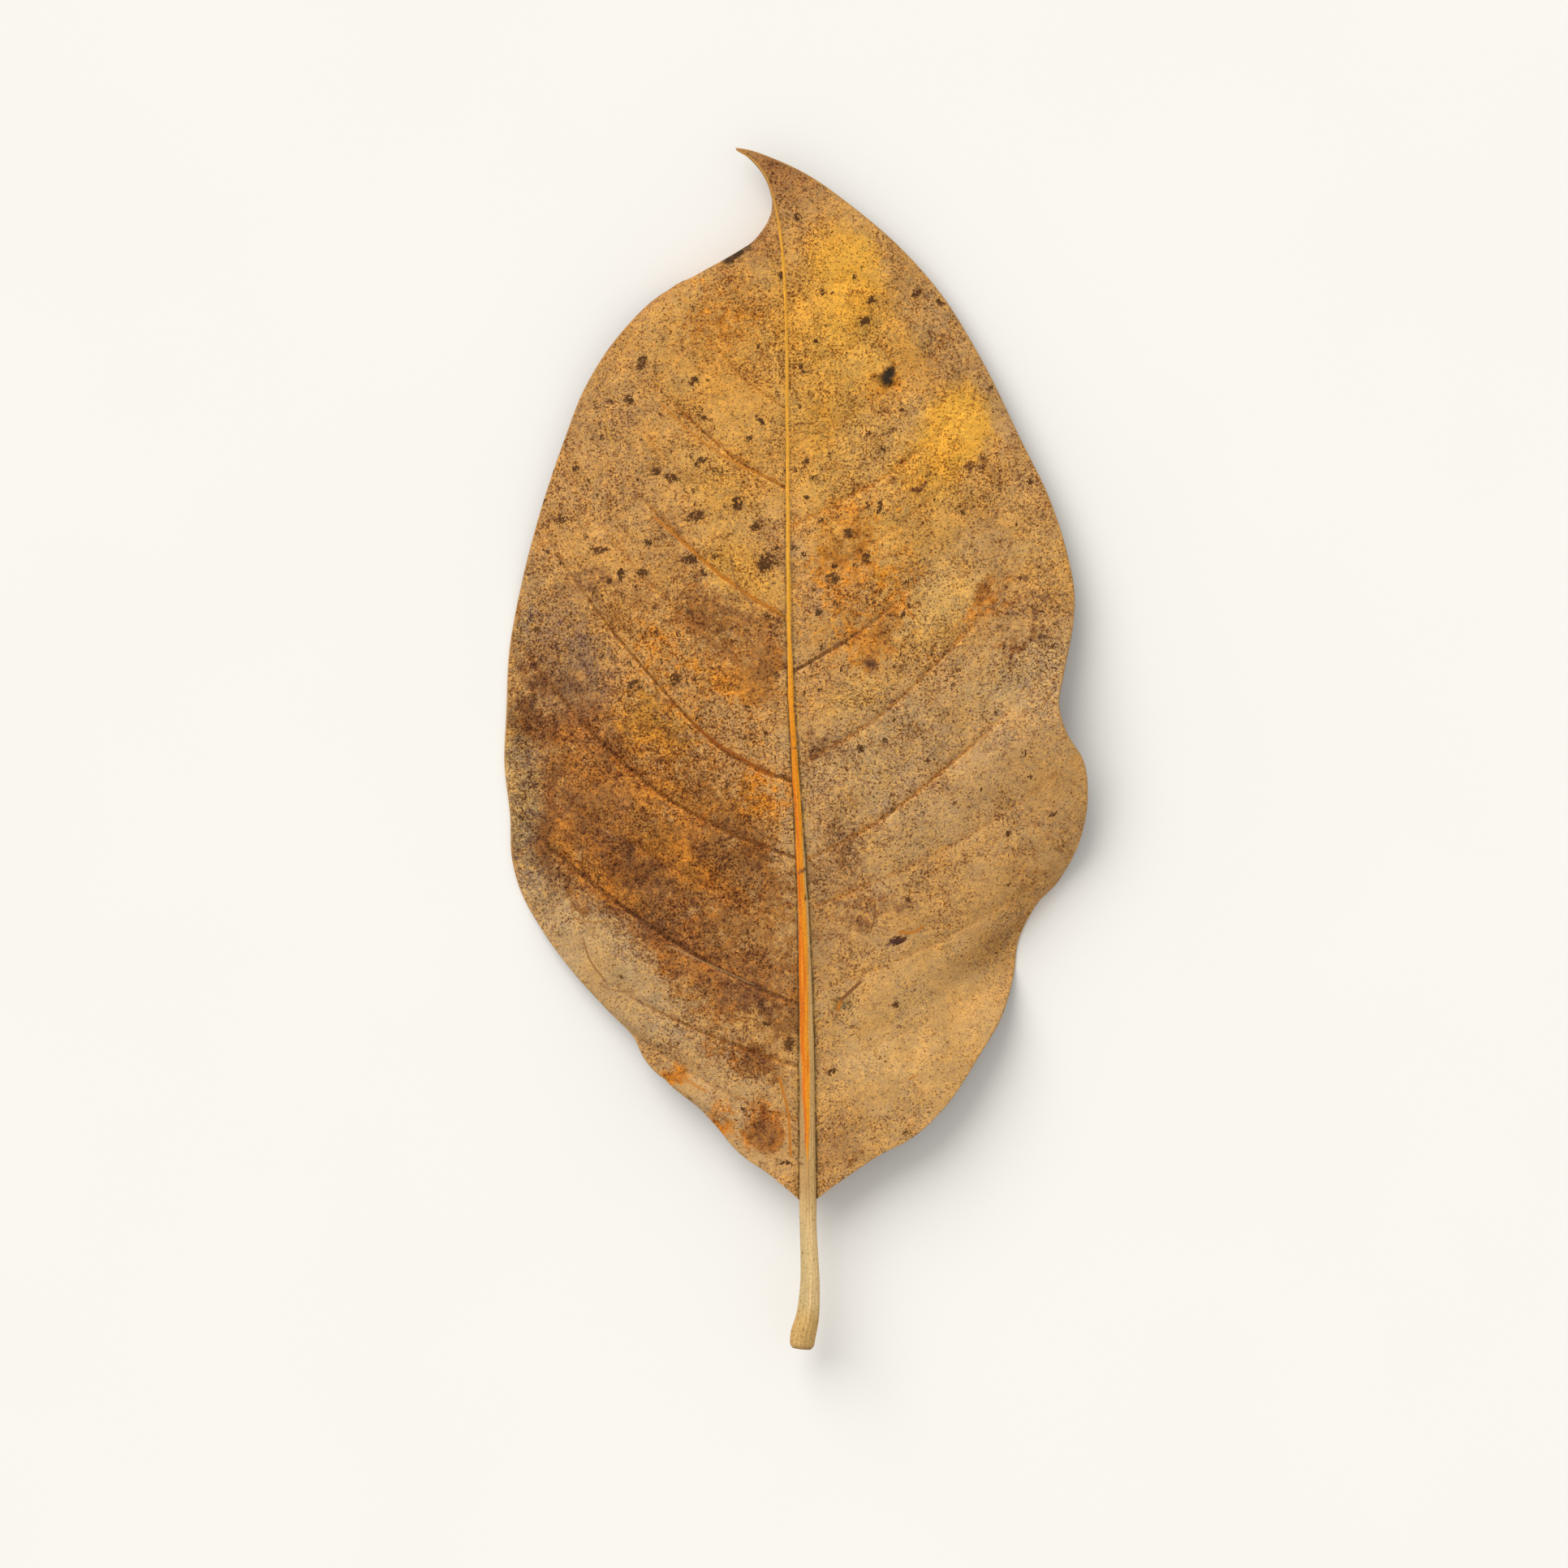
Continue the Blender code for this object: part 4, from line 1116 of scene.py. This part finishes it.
class Tree:
    """A short way of writing a material's nodes."""

    def __init__(self, name):
        self.material = bpy.data.materials.new(name)
        self.material.use_nodes = True
        self.nodes = self.material.node_tree.nodes
        self.links = self.material.node_tree.links
        self.shader = self.nodes["Principled BSDF"]

    def add(self, kind, inputs=None, **settings):
        made = self.nodes.new(kind)
        for key, value in settings.items():
            setattr(made, key, value)
        for key, value in (inputs or {}).items():
            self.put(made.inputs[key], value)
        return made

    def put(self, socket, value):
        if isinstance(value, bpy.types.NodeSocket):
            self.links.new(value, socket)
        else:
            socket.default_value = value

    def maths(self, operation, *values):
        return self.add("ShaderNodeMath", dict(enumerate(values)), operation=operation).outputs[0]

    def rest(self, value):
        """What is left of one."""
        return self.maths("SUBTRACT", 1.0, value)

    def times(self, *values):
        product = values[0]
        for value in values[1:]:
            product = self.maths("MULTIPLY", product, value)
        return product

    def noise(self, place, scale, detail=2.0, roughness=0.5, distortion=0.0):
        inputs = {"Vector": place, "Scale": scale, "Detail": detail, "Roughness": roughness}
        return self.add("ShaderNodeTexNoise", {**inputs, "Distortion": distortion}).outputs[0]

    def swing(self, place, width, settings):
        """Noise that swings about zero."""
        return self.maths("MULTIPLY_ADD", self.noise(place, *settings), width, -width / 2)

    def ramp(self, value, low, high, to_low=0.0, to_high=1.0):
        inputs = {"Value": value, "From Min": low, "From Max": high, "To Min": to_low, "To Max": to_high}
        return self.add("ShaderNodeMapRange", inputs, interpolation_type="SMOOTHSTEP").outputs[0]

    def mix(self, amount, a, b, blend_type="MIX"):
        made = self.add("ShaderNodeMix", data_type="RGBA", blend_type=blend_type, clamp_factor=True)
        self.put(made.inputs[0], amount)
        self.put(made.inputs[6], a)
        self.put(made.inputs[7], b)
        return made.outputs[2]

    def tint(self, amount, colour, factor):
        """A colour multiplied by a factor for red, green and blue, by an amount from 0 to 1."""
        return self.mix(amount, colour, (*factor, 1.0), "MULTIPLY")

    def attribute(self, name):
        return self.add("ShaderNodeAttribute", attribute_name=name)

    def parts(self, name):
        """The three numbers of a vector attribute."""
        return self.add("ShaderNodeSeparateXYZ", {0: self.attribute(name).outputs["Vector"]}).outputs

    def millimetres(self):
        place = self.add("ShaderNodeTexCoord").outputs["Object"]
        scaled = self.add("ShaderNodeVectorMath", operation="SCALE", inputs={0: place, "Scale": 1 / MM})
        return scaled.outputs[0]

    def finish(self, colour, roughness, height, depth, specular):
        """The whole material, with bumps of a depth in millimetres."""
        bump = self.add("ShaderNodeBump", {"Strength": 1.0, "Distance": depth * MM, "Height": height})
        self.put(self.shader.inputs["Base Color"], colour)
        self.put(self.shader.inputs["Roughness"], roughness)
        self.put(self.shader.inputs["Normal"], bump.outputs[0])
        self.shader.inputs["Specular IOR Level"].default_value = specular
        return self.material


def rgba(tone):
    """A tone with full cover."""
    return (*TONE[tone], 1.0)


def stained(t, place):
    """The ground of the blade with its stains over it, which break up into specks at their edges."""
    stain = t.attribute("stain")
    depth = t.maths("ADD", stain.outputs["Alpha"], t.swing(place, STAIN_BREAK, STAIN_LUMPS))
    mottle = t.noise(place, *STAIN_MOTTLE)
    tone = t.tint(t.ramp(mottle, 0.50, 0.64), stain.outputs["Color"], STAIN_PALE)
    tone = t.tint(t.ramp(mottle, 0.48, 0.34), tone, STAIN_DARK)
    return t.mix(t.ramp(depth, *STAIN_EDGE), t.attribute("tone").outputs["Color"], tone)


def veined(t, place, colour, dark):
    """Side veins over a colour, broken here and there, each with a stain beside it and a lit edge."""
    gap, near, strength = t.parts("vein")
    clear = t.times(t.ramp(near, 0.1, 0.3), strength)
    away = t.maths("ABSOLUTE", gap)
    beside = t.times(t.ramp(away, 1.0, 0.1), clear, t.ramp(t.noise(place, 0.7, 3.0, 0.7), 0.46, 0.6))
    colour = t.tint(t.times(beside, 0.8), colour, VEIN_STAIN_TINT)
    broken = t.ramp(t.noise(place, 1.1, 3.0, 0.7), 0.34, 0.56, 0.5, 1.0)
    line = t.times(t.ramp(away, 0.30, 0.12), clear, broken)
    colour = t.mix(t.times(line, 0.9), colour, t.mix(dark, rgba("pale vein"), rgba("dark vein")))
    lit = t.ramp(t.maths("ABSOLUTE", t.maths("ADD", gap, 0.4)), 0.24, 0.05)
    return t.tint(t.times(lit, clear, broken, 0.6), colour, VEIN_LIT_TINT), line


def speckled(t, place, colour, grain, kind):
    """Dark specks of one kind over a colour, thicker where there is more grain."""
    more, settings, edge, strength, tint = kind
    specks = t.maths("MULTIPLY_ADD", grain, more, t.noise(place, *settings))
    return t.tint(t.times(t.ramp(specks, *edge), strength), colour, tint)


def grained(t, place, colour, grain):
    """Pale and grey cells, smudges, dark curls and pepper dots over a colour."""
    calm = t.ramp(grain, 0.0, 0.9, 0.5, 1.0)
    cells = t.ramp(t.noise(place, *CELLS), 0.36, 0.64)
    clouds = t.ramp(t.noise(place, *CLOUDS), 0.38, 0.62)
    colour = t.tint(t.times(t.rest(cells), calm), colour, CELL_PALE)
    colour = t.tint(t.times(cells, calm), colour, CELL_DARK)
    colour = t.tint(t.times(t.rest(clouds), calm), colour, CLOUD_PALE)
    colour = t.tint(t.times(clouds, calm), colour, CLOUD_DARK)
    colour = speckled(t, place, colour, grain, SMUDGES)
    ridge = t.maths("ABSOLUTE", t.maths("SUBTRACT", t.noise(place, *CURLS), 0.5))
    curls = t.times(t.ramp(ridge, 0.035, 0.01), t.ramp(grain, 0.5, 1.1))
    colour = t.tint(t.times(curls, 0.7), colour, CURL_TINT)
    colour = speckled(t, place, colour, grain, PEPPER)
    return speckled(t, place, colour, grain, FLECKS), cells


def painted_midrib_shade(t, place, colour, beyond, row):
    """Painted shade beside the midrib: a shaded strip and a broken dark crease line, fainter towards the
    tip.
    """
    low = t.ramp(row, 0.75, 0.4, 0.15, 1.0)
    flank = t.times(t.ramp(beyond, 1.5, 0.2), low)
    # painted shade: the strip beside the midrib darkened
    colour = t.tint(t.times(flank, 0.55), colour, PAINTED_FLANK_SHADE)
    broken = t.ramp(t.noise(place, 0.9, 3.0, 0.7), 0.36, 0.56, 0.45, 1.0)
    # painted shade: a broken dark line in the crease beside the midrib
    crease = t.times(t.ramp(beyond, 0.36, 0.1), low, broken)
    return t.mix(t.times(crease, 0.8), colour, rgba("crease"))


def threaded(t, colour):
    """Fine threads and cracks over a colour."""
    signed, clear, half_width = t.parts("thread")
    drawn = t.maths("DIVIDE", t.maths("ABSOLUTE", signed), half_width)
    amount = t.times(t.ramp(drawn, 1.3, 0.7), clear)
    return t.mix(amount, colour, t.attribute("thread_tone").outputs["Color"])


def crumbly(t, place, colour, crumbs):
    """Dark crumbs with ragged edges over a colour."""
    spikes = t.times(t.swing(place, SPIKE_LENGTH, CRUMB_SPIKES), t.ramp(crumbs, 0.0, 0.3))
    crumb = t.ramp(t.maths("ADD", spikes, crumbs), 0.56, 0.72)
    return t.mix(crumb, colour, t.mix(t.noise(place, 0.5, 1.0), rgba("crumb"), rgba("pale crumb")))


def upper_material():
    """The leathery upper face: stains, side veins, grain, painted shade in the creases beside the midrib,
    threads and crumbs.
    """
    t = Tree("leaf_upper_face")
    place = t.millimetres()
    grain, dark, crumbs = t.parts("marks")
    beyond, from_margin, row = t.parts("edges")
    colour, line = veined(t, place, stained(t, place), dark)
    colour, cells = grained(t, place, colour, grain)
    # painted shade beside the midrib
    colour = painted_midrib_shade(t, place, colour, beyond, row)
    colour = t.mix(t.times(t.ramp(from_margin, 0.45, 0.15), 0.5), colour, rgba("rim"))
    colour = crumbly(t, place, threaded(t, colour), crumbs)
    height = t.maths("ADD", t.times(cells, -0.6), t.times(t.noise(place, 1.2, 2.0), 0.6))
    height = t.maths("SUBTRACT", height, t.times(line, 0.6))
    roughness = t.ramp(cells, 0.0, 1.0, 0.55, 0.78)
    return t.finish(colour, roughness, height, depth=0.08, specular=0.08)


def under_material():
    """The underside: a dull felt of short matted hairs."""
    t = Tree("leaf_underside_felt")
    place = t.millimetres()
    felt = t.noise(place, *FELT)
    tufts = t.noise(place, *TUFTS)
    colour = t.attribute("tone").outputs["Color"]
    colour = t.tint(t.ramp(felt, 0.35, 0.7, 0.6, 0.0), colour, FELT_DARK)
    colour = t.tint(t.ramp(tufts, 0.45, 0.7, 0.0, 0.4), colour, TUFT_PALE)
    t.put(t.shader.inputs["Sheen Weight"], 0.35)
    return t.finish(colour, t.ramp(felt, 0.3, 0.7, 0.8, 0.95), felt, depth=0.12, specular=0.2)


def rib_material():
    """The midrib and petiole: woody skin with long fine fibres."""
    t = Tree("midrib_and_petiole_skin")
    place = t.millimetres()
    fibre = t.noise(t.attribute("fibre").outputs["Vector"], *FIBRES)
    grain = t.noise(place, *CELLS)
    flecks = t.ramp(t.noise(place, *RIB_FLECKS), 0.61, 0.68, 0.0, 0.6)
    colour = t.attribute("tone").outputs["Color"]
    colour = t.tint(t.ramp(fibre, 0.3, 0.6, 0.35, 0.0), colour, FIBRE_DARK)
    colour = t.tint(t.ramp(fibre, 0.52, 0.72, 0.0, 0.5), colour, FIBRE_PALE)
    colour = t.tint(t.ramp(grain, 0.4, 0.66, 0.0, 0.5), colour, RIB_GRAIN_DARK)
    colour = t.mix(flecks, colour, rgba("midrib fleck"))
    return t.finish(colour, t.ramp(fibre, 0.3, 0.7, 0.55, 0.7), fibre, depth=0.06, specular=0.2)


def floor_material():
    """A smooth pale surface with the faintest unevenness."""
    t = Tree("pale_floor")
    place = t.millimetres()
    cloud = t.noise(place, 0.02, 2.0)
    colour = t.mix(t.ramp(cloud, 0.3, 0.7), rgba("floor"), rgba("floor dip"))
    return t.finish(colour, 0.9, t.noise(place, 1.2, 2.0), depth=0.01, specular=0.0)


def build_floor():
    """A wide level square."""
    mesh = bpy.data.meshes.new("floor")
    h = FLOOR_HALF_SIZE
    mesh.from_pydata([(-h, -h, 0), (h, -h, 0), (h, h, 0), (-h, h, 0)], [], [(0, 1, 2, 3)])
    mesh.materials.append(floor_material())
    floor = bpy.data.objects.new("floor", mesh)
    bpy.context.scene.collection.objects.link(floor)


def build_light():
    """An even sky and one broad sun from the upper left."""
    world = bpy.data.worlds.new("soft_sky")
    world.use_nodes = True
    sky = world.node_tree.nodes["Background"]
    sky.inputs["Color"].default_value = (1, 1, 1, 1)
    sky.inputs["Strength"].default_value = GROUND_LIGHT * SKY_SHARE
    bpy.context.scene.world = world
    height = np.radians(SUN_HEIGHT)
    lamp = bpy.data.lights.new("broad_sun", "SUN")
    lamp.energy = GROUND_LIGHT * (1 - SKY_SHARE) * np.pi / np.sin(height)
    lamp.angle = np.radians(SUN_SPREAD)
    sun = bpy.data.objects.new("broad_sun", lamp)
    flat = np.array(SHADOW_DIRECTION) / np.linalg.norm(SHADOW_DIRECTION) * np.cos(height)
    travel = Vector((flat[0], flat[1], -np.sin(height)))
    sun.rotation_euler = travel.to_track_quat("-Z", "Y").to_euler()
    bpy.context.scene.collection.objects.link(sun)


def build_camera():
    """A long lens that looks straight down."""
    camera = bpy.data.cameras.new("camera")
    camera.lens = LENS
    camera.sensor_width = SENSOR
    camera.clip_end = CLIP_END
    view = bpy.data.objects.new("camera", camera)
    x = (VIEW_MIDDLE[0] - BOX_MIDDLE[0]) * MM
    y = (VIEW_MIDDLE[1] - BOX_MIDDLE[1]) * MM
    view.location = (x, y, VIEW_WIDTH * MM * LENS / SENSOR)
    bpy.context.scene.collection.objects.link(view)
    bpy.context.scene.camera = view


def main():
    bpy.context.scene.view_settings.view_transform = "Standard"
    build_camera()
    build_light()
    build_floor()
    upper = upper_material()
    underside = under_material()
    halves = [build_half(side, upper, underside) for side in ("left", "right")]
    for piece in [*halves, build_rib(rib_material())]:
        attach(piece, "root")
        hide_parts(NODE)


main()
